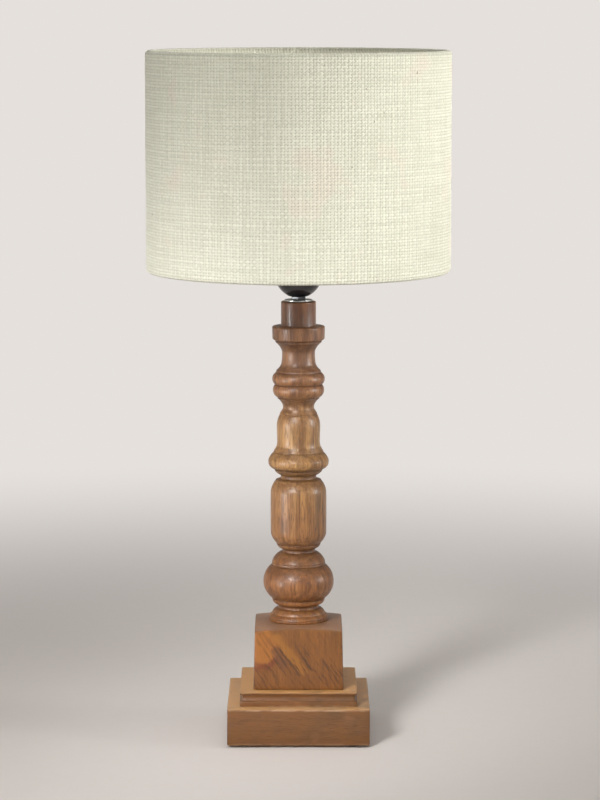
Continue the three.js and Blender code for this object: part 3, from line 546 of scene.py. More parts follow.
# %% The mouldings, from the block up: rise, radius at the top, how far the side swells
# Where two mouldings meet, a turner often parts them with a quirk, a narrow groove that
# reads as a dark line. QUIRKED names the mouldings that start with one.
TURNING_START = 63.2
TURNING_START_RADIUS = 29.6
MOULDINGS = [
    ("foot band", 2.7, 30.0, 0.3),
    ("foot ovolo", 4.6, 26.8, 0.6),
    ("foot fillet", 1.4, 26.5, 0),
    ("foot shoulder", 4.0, 21.0, 0.9),
    ("foot neck", 4.0, 21.5, -0.9),
    ("ball seat", 3.2, 26.2, 0.8),
    ("ball fillet", 2.2, 26.8, 0),
    ("ball", 33.9, 28.9, 7.95),
    ("ball ledge", 1.1, 27.2, 0),
    ("ball collar", 2.6, 26.9, 0),
    ("collar ovolo", 8.8, 21.5, 0.7),
    ("collar ledge", 2.2, 17.0, 0.3),
    ("lower neck", 3.2, 17.0, -0.45),
    ("barrel seat", 2.9, 21.4, 0.5),
    ("barrel fillet", 2.1, 22.5, 0),
    ("barrel heel", 10.6, 28.1, 0.85),
    ("barrel", 43.0, 28.2, 0.2),
    ("barrel shoulder", 11.0, 23.4, 0.9),
    ("barrel cap", 1.0, 22.9, 0),
    ("barrel ledge", 2.0, 18.2, -0.3),
    ("middle neck", 3.1, 18.3, -0.25),
    ("ring seat", 3.4, 23.5, 0.4),
    ("ring fillet", 2.1, 24.6, 0),
    ("ring heel", 5.9, 30.4, 1.2),
    ("ring", 4.1, 30.5, 0.15),
    ("ring shoulder", 7.4, 25.3, 0.6),
    ("bell flare", 6.0, 22.3, 0),
    ("bell waist", 7.0, 21.6, -0.25),
    ("bell", 12.0, 21.9, 0),
    ("bell shoulder", 13.8, 18.9, 1.0),
    ("bell crown", 5.7, 15.8, 0),
    ("upper neck", 4.5, 16.2, -0.3),
    ("bead cove", 6.2, 21.3, -0.5),
    ("bead fillet", 1.2, 21.8, 0),
    ("lower bead", 12.2, 24.2, 2.8),
    ("upper bead", 12.6, 22.8, 3.0),
    ("waist fillet", 2.4, 22.2, 0),
    ("waist cove", 6.4, 17.4, -0.6),
    ("waist", 13.0, 16.7, -0.4),
    ("collar cove", 9.0, 23.3, -0.9),
    ("collar fillet", 1.2, 23.5, 0),
    ("collar heel", 2.6, 26.3, 0.4),
    ("collar band", 10.8, 26.6, 0),
    ("collar edge", 1.6, 25.6, 0.3),
    ("collar top", 0.7, 17.6, 0),
    ("candle", 22.6, 17.5, 0),
    ("candle edge", 1.7, 16.8, 0.3),
]
ARRIS = 0.22
MOULDING_STEPS = 12

QUIRK = 0.75
QUIRK_WIDTH = 0.9
QUIRK_SIDE = 0.2
QUIRKED = ("foot ovolo", "ball", "ball collar", "collar ovolo", "barrel heel", "ring heel",
           "bell flare", "bell crown", "bead fillet", "upper bead", "waist fillet", "collar heel")

baluster = [(TURNING_START_RADIUS, TURNING_START)]
for name, rise, radius, bulge in MOULDINGS:
    start_radius, start_height = baluster[-1]
    if name in QUIRKED:
        floor_radius, quirk_top = start_radius - QUIRK, start_height + QUIRK_WIDTH
        baluster += [(floor_radius, start_height + QUIRK_SIDE), (floor_radius, quirk_top - QUIRK_SIDE),
                     (start_radius, quirk_top)]
    baluster += arc(baluster[-1], (radius, start_height + rise), bulge, MOULDING_STEPS)
stem_top = baluster[-1][1]
baluster = softened(baluster, ARRIS)
print("baluster outline", len(baluster), "points, top at", round(stem_top, 1), "mm")

# %% Square rings and how they turn into round ones
BLOCK_FOOT = 91
BLOCK_HEAD = 88
BLOCK_CORNER = 2
BLOCK_CROWN = 64.7
BLOCK_STEPS = 14
FOOT_EDGE = 1.0
HEAD_EDGE = 0.8
HEAD_EDGE_INSET = 0.75
DOME_RADIUS = 380
DOME_STEPS = 12
AROUND = 160


def square_ring(half, corner, count=AROUND):
    """Points of a square with rounded corners, anticlockwise from the middle of the +X side."""
    points = []
    straight = half - corner
    lengths = [straight, math.pi * corner / 2, straight]
    total = sum(lengths)
    for i in range(count):
        quarter, step = divmod(i, count // 4)
        run = total * step / (count // 4)
        if run < straight:
            x, y = half, run
        elif run < straight + lengths[1]:
            angle = (run - straight) / corner
            x, y = straight + corner * math.cos(angle), straight + corner * math.sin(angle)
        else:
            x, y = straight - (run - straight - lengths[1]), half
        for _ in range(quarter):
            x, y = -y, x
        points.append((x, y))
    return points


def round_ring(radius, count=AROUND):
    return [(radius * math.cos(2 * math.pi * i / count), radius * math.sin(2 * math.pi * i / count))
            for i in range(count)]


def skin(name, rings, finish, bore=0.0, smooth_below=35):
    """Joins rings of points, low to high. A bore runs up the middle; otherwise the ends are capped."""
    points = [point for ring in rings for point in ring]
    count = len(rings[0])
    loops = [range(k * count, (k + 1) * count) for k in range(len(rings))]
    faces = []
    pairs = list(zip(loops, loops[1:]))
    if bore:
        pairs.append((loops[-1], loops[0]))
    for low, high in pairs:
        for i in range(count):
            j = (i + 1) % count
            faces.append((low[i], low[j], high[j], high[i]))
    if not bore:
        faces += [tuple(reversed(loops[0])), tuple(loops[-1])]
    return piece(name, points, faces, finish, smooth_below)


# %% The stem's skin
PIPE_HOLE = 5.5
PIPE_MOUTH = 0.8
TRUE_FOOT_RINGS = 3
TRUE_TOP_RINGS = 2
HAND_WEAR = 0.10


def dome_height(x, y):
    return BLOCK_CROWN - (x * x + y * y) / (2 * DOME_RADIUS)


def hand_worn(x, y, z):
    """Turning and sanding by hand leave no surface true to better than a few hundredths."""
    swell = noise.noise(Vector((x / 19, y / 19, z / 31))) * HAND_WEAR
    length = math.hypot(x, y) or 1
    return x + x / length * swell, y + y / length * swell


def stem_rings():
    """Every ring of the stem from the bore's foot, over the outside, to the bore's top."""
    rings = []
    for radius in (PIPE_HOLE, 20, 34):
        rings.append([(x, y, 0) for x, y in round_ring(radius)])
    for inset, height in ((1.2, 0), (0.35, 0.12), (0.06, 0.45), (0, FOOT_EDGE)):
        rings.append([(x, y, height) for x, y in square_ring(BLOCK_FOOT / 2 - inset, BLOCK_CORNER)])
    for k in range(1, BLOCK_STEPS + 1):
        share = k / BLOCK_STEPS
        half = BLOCK_FOOT / 2 + (BLOCK_HEAD - BLOCK_FOOT) / 2 * share
        ring = []
        for x, y in square_ring(half, BLOCK_CORNER):
            top = dome_height(x, y) - HEAD_EDGE
            ring.append((x, y, FOOT_EDGE + (top - FOOT_EDGE) * share))
        rings.append(ring)
    for inset, drop in ((0.08, 0.42), (0.30, 0.16), (HEAD_EDGE_INSET, 0.02)):
        rings.append([(x, y, dome_height(x, y) - drop)
                      for x, y in square_ring(BLOCK_HEAD / 2 - inset, BLOCK_CORNER)])
    edge = square_ring(BLOCK_HEAD / 2 - HEAD_EDGE_INSET, BLOCK_CORNER)
    for k in range(1, DOME_STEPS + 1):
        share = k / DOME_STEPS
        ring = []
        for (x0, y0), (x1, y1) in zip(edge, round_ring(TURNING_START_RADIUS + 0.5)):
            x, y = x0 + (x1 - x0) * share, y0 + (y1 - y0) * share
            ring.append((x, y, dome_height(x, y)))
        rings.append(ring)
    for radius, height in baluster[1:]:
        rings.append([(x, y, height) for x, y in round_ring(radius)])
    rings.append([(x, y, stem_top) for x, y in round_ring(PIPE_HOLE + PIPE_MOUTH)])
    rings.append([(x, y, stem_top - PIPE_MOUTH) for x, y in round_ring(PIPE_HOLE)])
    base = stem_low.z / MM
    worn = []
    for k, ring in enumerate(rings):
        true = k < TRUE_FOOT_RINGS or k >= len(rings) - TRUE_TOP_RINGS
        worn.append([((x, y) if true else hand_worn(x, y, z)) + (z + base,) for x, y, z in ring])
    return [[(x * MM, y * MM, z * MM) for x, y, z in ring] for ring in worn]


def mark_groove_shade(made, rings, reach=5.0, full=6.0):
    """Notes how deep each point lies between its neighbours, for the shade painted into the grooves."""
    radii = [math.hypot(*ring[0][:2]) / MM for ring in rings]
    heights = [ring[0][2] / MM for ring in rings]
    first = heights[0] + BLOCK_CROWN - 1
    turnings = [(radius, height) for radius, height in zip(radii, heights) if height > first]
    depth = []
    for radius, height in zip(radii, heights):
        deep = 0.0
        if height > first and radius > PIPE_HOLE + 2:
            widest = max(r for r, h in turnings if abs(h - height) < reach)
            deep = min(1.0, (widest - radius) / full)
        depth += [deep] * len(rings[0])
    made.data.attributes.new("groove_shade", "FLOAT", "POINT").data.foreach_set("value", depth)


rings = stem_rings()
stem = skin("stem", rings, stem_wood.material, bore=PIPE_HOLE * MM)
mark_groove_shade(stem, rings)
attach(stem, "base")
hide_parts("turned_column")
print("stem", len(stem.data.polygons), "faces")

# %% [markdown]
# ## The plinth: two square tiers
# Both tiers are flat boards with their grain lying level. The lower one has softened edges
# and, underneath, a round recess for the wiring, four sunk screw holes and the hole that the
# cord would pass through. The upper one has a thin lip over a shallow cove. The boards are
# made as stacks of square rings, which gives true rounded edges, and the holes are then cut
# with cutters whose mouths flare a little, as a drill leaves them.

# %% Plinth wood: the same grain lying along X, a darker front, and painted light on the upper faces
tier_wood = wood("plinth_wood", tint(122, 78, 37), tint(80, 50, 23), tint(148, 104, 57),
                 along="X", pith=(-0.12, 0.05), seed=0.31, figure=0.22)
lower_low, lower_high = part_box("plinth_lower")
upper_low, upper_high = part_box("plinth_upper")
x, _, z = tier_wood.axes(tier_wood.place)
_, _, upward = tier_wood.axes(tier_wood.add("ShaderNodeNewGeometry", "Normal"))
on_top = tier_wood.math("MAXIMUM", tier_wood.between(z, upper_high.z - 0.002, upper_high.z - 0.001),
                        tier_wood.math("COMPARE", z, lower_high.z, 0.001))
# Painted light: the upward-facing top faces of both tiers are made paler, as if lit from above.
flat = tier_wood.times(tier_wood.between(upward, 0.6, 0.95), on_top)
tier_wood.lay(tint(226, 174, 112), flat, 0.80)
clouds = tier_wood.noise(tier_wood.place, 24, 3)
olive = tier_wood.times(tier_wood.between(x, -0.005, 0.03), tier_wood.between(clouds, 0.48, 0.64))
tier_wood.lay(tint(72, 58, 36), olive, 0.45)
stains = tier_wood.noise(tier_wood.stretched((0.6, 1, 1)), 55, 4, 0.6)
tier_wood.lay(tint(70, 46, 28), tier_wood.between(stains, 0.40, 0.28, 0, 0.30))
tier_wood.lay(tint(146, 102, 66), tier_wood.between(stains, 0.56, 0.70, 0, 0.30))

# %% Painted highlights along the lower tier's top edge and, weaker, its bottom edge, broken up by noise
edge_top = tier_wood.between(z, lower_high.z - 0.0026, lower_high.z - 0.0008)
edge_low = tier_wood.between(z, lower_low.z + 0.0034, lower_low.z + 0.0010)
below_upper = tier_wood.between(z, lower_high.z + 0.002, lower_high.z + 0.0008)
edge_highlight = tier_wood.math("MAXIMUM", tier_wood.times(edge_top, below_upper), tier_wood.times(edge_low, 0.4))
uneven = tier_wood.between(tier_wood.noise(tier_wood.place, 90, 3), 0.35, 0.65, 0.10, 0.50)
tier_wood.lay(tint(196, 160, 126), tier_wood.times(edge_highlight, uneven))
tier_wood.colour(tier_wood.coat)
print("plinth finish", len(tier_wood.tree.nodes), "nodes")


# %% The evaluated piece, kept as its own plain mesh
def keep_result(made):
    """Turns a piece and its modifiers into a plain mesh, and drops the modifiers."""
    graph = bpy.context.evaluated_depsgraph_get()
    graph.update()
    result = bpy.data.meshes.new_from_object(made.evaluated_get(graph))
    made.modifiers.clear()
    old = made.data
    result.name = made.name
    made.data = result
    bpy.data.meshes.remove(old)
    return made


# %% Cutting holes: each cutter is used once and thrown away
CUT_SMOOTH_BELOW = 28


def cut_with(body, cutters):
    for tool in cutters:
        modifier = body.modifiers.new("cut", "BOOLEAN")
        modifier.operation = "DIFFERENCE"
        modifier.solver = "EXACT"
        modifier.object = tool
    keep_result(body)
    for tool in cutters:
        mesh = tool.data
        bpy.data.objects.remove(tool)
        bpy.data.meshes.remove(mesh)
    body.data.polygons.foreach_set("use_smooth", [True] * len(body.data.polygons))
    body.data.set_sharp_from_angle(angle=math.radians(CUT_SMOOTH_BELOW))


def moved(made, x=0.0, y=0.0, z=0.0):
    """Shifts a piece's mesh, so that its object stays at the origin."""
    made.data.transform(Matrix.Translation((x, y, z)))
    return made


# %% The tiers' skins, in millimetres
TIER_CORNER = 1.6
TIER_EDGE = 1.2
RIM_BAND = 6
LIP_HEIGHT = 1.8
LIP_INSET = 1.6
LIP_OVERHANG = 0.2
COVE_DEPTH = 1.2
COVE_FOOT_INSET = 1.2
COVE_HEIGHT = 6.5
COVE_STEP = 0.5


def board(name, outline, finish):
    """A square board from (half width, height) levels. Inner rings close both faces."""
    (half_low, low), (half_high, high) = outline[0], outline[-1]
    levels = [(2, low), (half_low - 1.5, low)] + outline + [(half_high - 1.5, high), (2, high)]
    rings = []
    for half, height in levels:
        corner = min(TIER_CORNER, half * 0.4)
        rings.append([(x * MM, y * MM, height * MM) for x, y in square_ring(half, corner, 240)])
    return skin(name, rings, finish)


half = (lower_high.x - lower_low.x) / 2 / MM
z0, z1 = lower_low.z / MM, lower_high.z / MM
lower_outline = softened([(half - RIM_BAND, z0), (half, z0), (half, (z0 + z1) / 2), (half, z1),
                          (half - RIM_BAND, z1)], TIER_EDGE, 5)
plinth_lower = board("plinth_lower_board", lower_outline, tier_wood.material)

half = (upper_high.x - upper_low.x) / 2 / MM
z0, z1 = upper_low.z / MM, upper_high.z / MM
lip_foot = z1 - LIP_HEIGHT
cove_foot = lip_foot - COVE_HEIGHT
lip = half - LIP_OVERHANG
upper_outline = [(half - RIM_BAND, z0), (half, z0), (half, cove_foot - COVE_STEP),
                 (half - COVE_FOOT_INSET, cove_foot)]
upper_outline += arc(upper_outline[-1], (half - LIP_INSET, lip_foot), -COVE_DEPTH, 8)
upper_outline += [(lip, lip_foot), (lip, z1), (half - RIM_BAND, z1)]
plinth_upper = board("plinth_upper_board", softened(upper_outline, 0.5, 4), tier_wood.material)
print("tiers", len(plinth_lower.data.polygons), len(plinth_upper.data.polygons), "faces")

# %% The holes in the tiers, in millimetres
RECESS_RADIUS = 30
RECESS_DEPTH = 14
SCREW_HEAD_ROOM = 4.6
SCREW_ROOM = 2.4
SCREW_SEAT = 12.9
CORD_HOLE = 4.5
CORD_HOLE_START = 10
FLARE = 0.7
OVERSHOOT = 5

screw_nodes = [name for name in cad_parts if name.startswith("plinth_screw")]
pad_nodes = [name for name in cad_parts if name.startswith("foot_pad")]
LIE_ALONG_Y = Matrix.Rotation(math.radians(-90), 4, "X")


def middle(node):
    low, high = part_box(node)
    return (low + high) / 2


def flared(radius, face):
    """A hole's mouth at a face: it starts outside, and narrows just inside."""
    wide = radius + FLARE
    return [(0, face - OVERSHOOT), (wide, face - OVERSHOOT), (wide, face), (radius, face + FLARE)]


def cutter(name, outline, sides=64):
    return turned(name, mm(outline), sides)


def pipe_way(low, high):
    return cutter("pipe_way", [(0, low), (PIPE_HOLE, low), (PIPE_HOLE, high), (0, high)])


def lower_cutters():
    low, high = lower_low.z / MM, lower_high.z / MM
    ceiling, seat, above = low + RECESS_DEPTH, low + SCREW_SEAT, high + OVERSHOOT
    recess = flared(RECESS_RADIUS, low) + [(RECESS_RADIUS, ceiling), (0, ceiling)]
    tools = [cutter("recess", recess, 96), pipe_way(low, above)]
    well = flared(SCREW_HEAD_ROOM, low) + [(SCREW_HEAD_ROOM, seat), (SCREW_ROOM, seat),
                                           (SCREW_ROOM, above), (0, above)]
    for name in screw_nodes:
        place = middle(name)
        tools.append(moved(cutter(name + "_well", well, 48), place.x, place.y))
    side, wide = lower_high.y / MM, CORD_HOLE + FLARE
    way = cutter("cord_way", [(0, CORD_HOLE_START), (CORD_HOLE, CORD_HOLE_START), (CORD_HOLE, side - FLARE),
                              (wide, side), (wide, side + OVERSHOOT), (0, side + OVERSHOOT)], 48)
    way.data.transform(LIE_ALONG_Y)
    return tools + [moved(way, z=middle("cord_bushing").z)]


cut_with(plinth_lower, lower_cutters())
cut_with(plinth_upper, [pipe_way(upper_low.z / MM - OVERSHOOT, upper_high.z / MM + OVERSHOOT)])
for board_piece, node in ((plinth_lower, "plinth_lower"), (plinth_upper, "plinth_upper")):
    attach(board_piece, "base")
    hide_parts(node)
print("tiers after cutting", len(plinth_lower.data.polygons), len(plinth_upper.data.polygons), "faces")

# %% [markdown]
# ## Recipes for what repeats
# A lamp has many repeated things: yarns in cloth, ribs on a ring, turns of a thread, screws at
# four corners. Each is a rule, so each is a small Geometry Nodes tree with named inputs for
# its sizes. The tree works on a plain starting mesh, the result is kept as an ordinary mesh,
# and the modifier goes, so that nothing in the finished lamp has to be worked out again.


# %% A recipe is a node tree with named inputs
class Recipe(Tree):
    """One Geometry Nodes tree that works on a starting mesh."""

    def __init__(self, name, **sizes):
        super().__init__(bpy.data.node_groups.new(name, "GeometryNodeTree"))
        faces = self.tree.interface
        faces.new_socket("Geometry", in_out="INPUT", socket_type="NodeSocketGeometry")
        faces.new_socket("Geometry", in_out="OUTPUT", socket_type="NodeSocketGeometry")
        self.sizes = {}
        for size, value in sizes.items():
            kind = "NodeSocketInt" if isinstance(value, int) else "NodeSocketFloat"
            label = size.replace("_", " ").capitalize()
            self.sizes[size] = (faces.new_socket(label, in_out="INPUT", socket_type=kind), value)
        self.start = self.tree.nodes.new("NodeGroupInput")
        self.end = self.tree.nodes.new("NodeGroupOutput")
        self.mesh = self.start.outputs["Geometry"]

    def size(self, name):
        return self.start.outputs[self.sizes[name][0].name]

    def vector(self, x=0.0, y=0.0, z=0.0):
        return self.add("ShaderNodeCombineXYZ", 0, {"X": x, "Y": y, "Z": z})

    def scaled(self, vector, length):
        return self.add("ShaderNodeVectorMath", "Vector", {0: vector, "Scale": length}, operation="SCALE")

    def position(self):
        return self.axes(self.add("GeometryNodeInputPosition"))

    def away_from_axis(self, x, y, distance):
        """A step of that distance, level and straight away from the lamp's axis."""
        outward = self.add("ShaderNodeVectorMath", "Vector", {0: self.vector(x, y)}, operation="NORMALIZE")
        return self.scaled(outward, distance)

    def copies(self, points, turn=None):
        return self.add("GeometryNodeInstanceOnPoints", 0, {
            "Points": points, "Instance": self.mesh, "Rotation": turn})

    def shifted(self, offset):
        return self.add("GeometryNodeSetPosition", 0, {"Geometry": self.mesh, "Offset": offset})

    def apply(self, made, geometry, finish=None):
        """Ends the tree, runs it on the piece and keeps the result as the piece's own mesh."""
        plain = self.add("GeometryNodeRealizeInstances", 0, {"Geometry": geometry})
        dressed = self.add("GeometryNodeSetMaterial", 0, {"Geometry": plain, "Material": finish})
        self.feed(self.end.inputs["Geometry"], dressed)
        modifier = made.modifiers.new(self.tree.name, "NODES")
        modifier.node_group = self.tree
        for socket, value in self.sizes.values():
            modifier[socket.identifier] = value
        return keep_result(made)


# %% Copies turned about the axis, and copies at four corners
def copies_round(made, name, count, start_angle, finish):
    recipe = Recipe(name, copies=count, start_angle=start_angle)
    points = recipe.add("GeometryNodePoints", 0, {"Count": recipe.size("copies")})
    step = recipe.math("DIVIDE", 2 * math.pi, recipe.size("copies"))
    index = recipe.add("GeometryNodeInputIndex")
    angle = recipe.math("MULTIPLY_ADD", index, step, recipe.size("start_angle"))
    return recipe.apply(made, recipe.copies(points, recipe.vector(z=angle)), finish)


def copies_at_corners(made, name, span, finish):
    recipe = Recipe(name, span=span)
    grid = recipe.add("GeometryNodeMeshGrid", 0, {
        "Size X": recipe.size("span"), "Size Y": recipe.size("span"), "Vertices X": 2, "Vertices Y": 2})
    return recipe.apply(made, recipe.copies(grid), finish)


# %% A thread: the skin rises and falls along a helix, and dies out at both ends
RUN_OUT = 0.7


def threaded(made, name, pitch, depth, low, high, finish):
    """Works a thread into a finely ringed wall. RUN_OUT is its fading stretch, in pitches."""
    recipe = Recipe(name, pitch=pitch, depth=depth, low_end=low, high_end=high)
    x, y, z = recipe.position()

    def fade(end, way):
        inner = recipe.math("MULTIPLY_ADD", recipe.size("pitch"), way * RUN_OUT, recipe.size(end))
        return recipe.add("ShaderNodeMapRange", "Result", {
            "Value": z, "From Min": recipe.size(end), "From Max": inner})

    angle = recipe.math("DIVIDE", recipe.math("ARCTAN2", y, x), 2 * math.pi)
    turns = recipe.math("SUBTRACT", recipe.math("DIVIDE", z, recipe.size("pitch")), angle)
    wave = recipe.math("COSINE", recipe.times(turns, 2 * math.pi))
    swell = recipe.times(recipe.times(fade("low_end", 1), fade("high_end", -1)),
                         recipe.math("MULTIPLY_ADD", wave, 0.5, -0.5))
    offset = recipe.away_from_axis(x, y, recipe.times(swell, recipe.size("depth")))
    return recipe.apply(made, recipe.shifted(offset), finish)


def settle(made, body, slot_name, *nodes):
    """Parents a finished piece to its body and hides the nodes it stands for. slot_name is not used."""
    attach(made, body)
    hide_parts(*nodes)
    print(made.name, len(made.data.polygons), "faces")
    return made


# %% [markdown]
# ## Jute cloth
# The shade is covered with coarse plain weave: uprights and crosswise yarns go over and under
# one another, about three millimetres apart, with small dark gaps between them. Real
# jute is uneven. Yarns swell and thin, a few dark flecks of stalk are spun in, and some
# patches are a shade pinker. The big bumps of the yarns are in the mesh. The twist, the
# colours, and the shade painted into the gaps and the low parts of the weave are in the
# finish, which counts yarns with the cloth's own map.

# %% Jute: which yarn is on top, how high it stands, and the painted shade in the gaps
jute = Finish("jute_cloth", roughness=0.92, Specular_IOR_Level=0.25, Sheen_Weight=0.18,
              Sheen_Roughness=0.6)
weave = jute.add("ShaderNodeUVMap", "UV", uv_map="yarns")
u, v, _ = jute.axes(weave)
across_warp, across_weft = jute.math("FRACT", u), jute.math("FRACT", v)
warp_round = jute.math("SINE", jute.times(across_warp, math.pi))
weft_round = jute.math("SINE", jute.times(across_weft, math.pi))
crossing = jute.math("ADD", jute.math("FLOOR", u), jute.math("FLOOR", v))
warp_over = jute.math("GREATER_THAN", jute.math("FRACT", jute.times(crossing, 0.5)), 0.25)


def of_upper_yarn(weft, warp):
    """The value that belongs to the yarn on top at this crossing."""
    return jute.add("ShaderNodeMix", 0, {"Factor": warp_over, 2: weft, 3: warp}, data_type="FLOAT")


warp_top = jute.times(warp_round, jute.math("MULTIPLY_ADD", weft_round, 0.45, 0.55))
weft_top = jute.times(weft_round, jute.math("MULTIPLY_ADD", warp_round, 0.45, 0.55))
height = of_upper_yarn(weft_top, warp_top)
gap_shade = jute.between(jute.math("MAXIMUM", warp_round, weft_round), 0.72, 0.30)
openness = jute.noise(jute.stretched((0.5, 0.5, 1), place=weave), 1.3, 3, 0.65)
gap_shade = jute.times(gap_shade, jute.between(openness, 0.36, 0.62, 0.25, 1.35))

# %% Jute: each yarn's own tone, pink patches, stalk flecks, and painted shade in the weave and on the top rim
PAINTED_RIM_SHADE_LOW = 5.2 * MM
PAINTED_RIM_SHADE_HIGH = 2.2 * MM

warp_tone = jute.noise(jute.stretched((1.0, 0.030, 1), place=weave), 1.0, 3, 0.7)
weft_tone = jute.noise(jute.stretched((0.045, 1.0, 1), place=weave), 1.0, 2, 0.6)
own_tone = of_upper_yarn(weft_tone, warp_tone)
fleck = jute.noise(jute.stretched((1.6, 0.7, 1), place=weave), 0.55, 2, 0.5)
_, _, z = jute.axes(jute.place)
rim_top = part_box("shade_fabric")[1].z
rim = jute.between(z, rim_top - PAINTED_RIM_SHADE_LOW, rim_top - PAINTED_RIM_SHADE_HIGH)
jute.coat = jute.mix(jute.between(own_tone, 0.36, 0.64), tint(217, 218, 199), tint(235, 236, 219))
jute.lay(tint(233, 218, 204), jute.between(jute.noise(jute.place, 24, 2), 0.58, 0.72, 0, 0.42))
# Painted shade: the low parts of the weave, between the raised yarns, are darkened.
jute.lay(tint(180, 180, 156), jute.between(height, 0.55, 0.10), 0.30)
# Painted shade in the gaps between the yarns.
jute.lay(tint(132, 130, 106), gap_shade, 0.40)
jute.lay(tint(104, 78, 50), jute.between(fleck, 0.735, 0.765, 0, 0.75))
# Painted shade on the rolled top rim, which gets less light.
jute.lay(tint(150, 152, 136), rim, 0.30)
jute.colour(jute.coat)
plies = jute.math("ADD", jute.times(across_warp, 2.0), jute.times(across_weft, 3.0))
twist = jute.math("SINE", jute.times(plies, 2 * math.pi))
fuzz = jute.noise(jute.stretched((3, 3, 3), place=weave), 2.4, 3, 0.7)
jute.relief((height, 0.6 * MM), (twist, 0.06 * MM), (fuzz, 0.1 * MM))
print("jute finish", len(jute.tree.nodes), "nodes")

# %% [markdown]
# ## The drum of cloth
# The cover is one strip of cloth, stretched round two wire hoops. It turns in over each hoop
# and ends in a hem inside, and its ends lap in a seam at the back. A closed sheet is drawn
# round that outline: out on the face, over the rim, down the hem and back up behind. The rows
# and columns fall on the yarns, two to each, so the recipe only has to lift the crossings.

# %% The cloth's outline, and where the yarns lie along it
WARPS = 282
WEFT_PITCH = 2.9 * MM
ROLL = 3.2 * MM
CLOTH = 1.2 * MM
HEM = 12 * MM
HEM_BEND = 1.8 * MM
HEM_CORNER = 0.2 * MM
HOOP_WIRE = 3 * MM
HOOP_CLEAR = 0.3 * MM
SEAM_WIDTH = math.radians(4.2)
SEAM_LAP = 0.9 * MM
RIPPLE = 0.5 * MM
SHOWN_ROWS = 9

cloth_low, cloth_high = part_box("shade_fabric")
drum = cloth_high.x
hem_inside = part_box("bottom_hoop")[1].x - HOOP_WIRE - HOOP_CLEAR - CLOTH


def half_outline(rim, into):
    """The rim in section: face, rim, hem and back up behind. into is -1 at the top, 1 below."""
    back_of_hem = hem_inside + CLOTH
    section = [(drum, ROLL)]
    for a in (math.radians(degrees) for degrees in (30, 60, 90)):
        section.append((drum - ROLL + ROLL * math.cos(a), ROLL - ROLL * math.sin(a)))
    for a in (math.radians(degrees) for degrees in (0, 45, 90)):
        section.append((hem_inside + HEM_BEND - HEM_BEND * math.sin(a), HEM_BEND - HEM_BEND * math.cos(a)))
    section += [(hem_inside, 6.0 * MM), (hem_inside, 10.2 * MM)]
    section += [(hem_inside + HEM_CORNER, HEM), (back_of_hem - HEM_CORNER, HEM)]
    section += [(back_of_hem, CLOTH * 1.4), (back_of_hem + CLOTH, CLOTH), (drum - ROLL, CLOTH),
                (drum - CLOTH, ROLL * 1.3)]
    return [(radius, rim + into * depth) for radius, depth in section]


def cloth_rows():
    """(radius, height, yarn count, whether the weave shows) all the way round the section."""
    face = cloth_high.z - cloth_low.z - 2 * ROLL
    wefts = round(face / WEFT_PITCH)
    rows = [(drum, cloth_low.z + ROLL + face * k / (2 * wefts), k / 2, 1) for k in range(2 * wefts)]
    for k, (radius, height) in enumerate(half_outline(cloth_high.z, -1)):
        rows.append((radius, height, wefts + k / 2, 1 if k < SHOWN_ROWS else 0))
    for k, (radius, height) in reversed(list(enumerate(half_outline(cloth_low.z, 1)))[1:]):
        rows.append((radius, height, -k / 2, 1 if k < SHOWN_ROWS else 0))
    return rows


# %% The sheet
def cloth_sheet():
    """Two rows and two columns to each yarn, drawn uneven. The UV map counts the yarns."""
    rows = cloth_rows()
    columns = 2 * WARPS
    points, yarns = [], []
    for radius, height, weft, shown in rows:
        for i in range(columns):
            warp = i / 2
            place = Vector((warp / 5, weft / 5, 0))
            sway = noise.noise(Vector((warp * 0.9, weft * 0.05, 3))) * 0.30
            lift = noise.noise(Vector((warp * 0.05, weft * 0.9, 7))) * 0.28
            angle = 2 * math.pi * (warp + sway * shown) / WARPS + math.pi / 2
            away = (angle - math.pi / 2 + math.pi) % (2 * math.pi) - math.pi
            lap = SEAM_LAP * max(0.0, min(1.0, (SEAM_WIDTH / 2 - abs(away)) / (SEAM_WIDTH * 0.06)))
            wave = noise.noise(Vector((math.cos(angle) * 3, math.sin(angle) * 3, height * 9))) * RIPPLE
            reach = radius + (lap + wave) * shown
            on_face = 1 if radius >= drum else 0.1
            points.append((reach * math.cos(angle), reach * math.sin(angle),
                           height + lift * WEFT_PITCH * 0.5 * shown * on_face))
            yarns.append((warp, weft, shown * (0.75 + 0.5 * noise.noise(place))))
    faces, maps = [], []
    for k, row in enumerate(rows):
        following = (k + 1) % len(rows)
        step = 0.5 if row[3] or rows[following][3] else 0.0
        weft_low = row[2]
        weft_high = rows[following][2] if following else 0.0
        if abs(weft_high - weft_low) > 1.1:
            weft_high = weft_low + step
        for i in range(columns):
            j = (i + 1) % columns
            low, high = k * columns, following * columns
            faces.append((low + i, low + j, high + j, high + i))
            maps += [(i / 2, weft_low), (i / 2 + 0.5, weft_low), (i / 2 + 0.5, weft_high), (i / 2, weft_high)]
    made = piece("shade_cloth", points, faces, smooth_below=80)
    layer = made.data.uv_layers.new(name="yarns")
    layer.data.foreach_set("uv", np.array(maps, dtype=float).ravel())
    spots = made.data.attributes.new("yarn_place", "FLOAT_VECTOR", "POINT")
    spots.data.foreach_set("vector", np.array(yarns, dtype=float).ravel())
    return made


# %% The weave recipe lifts each crossing and sinks each gap
YARN_RELIEF = 0.34 * MM


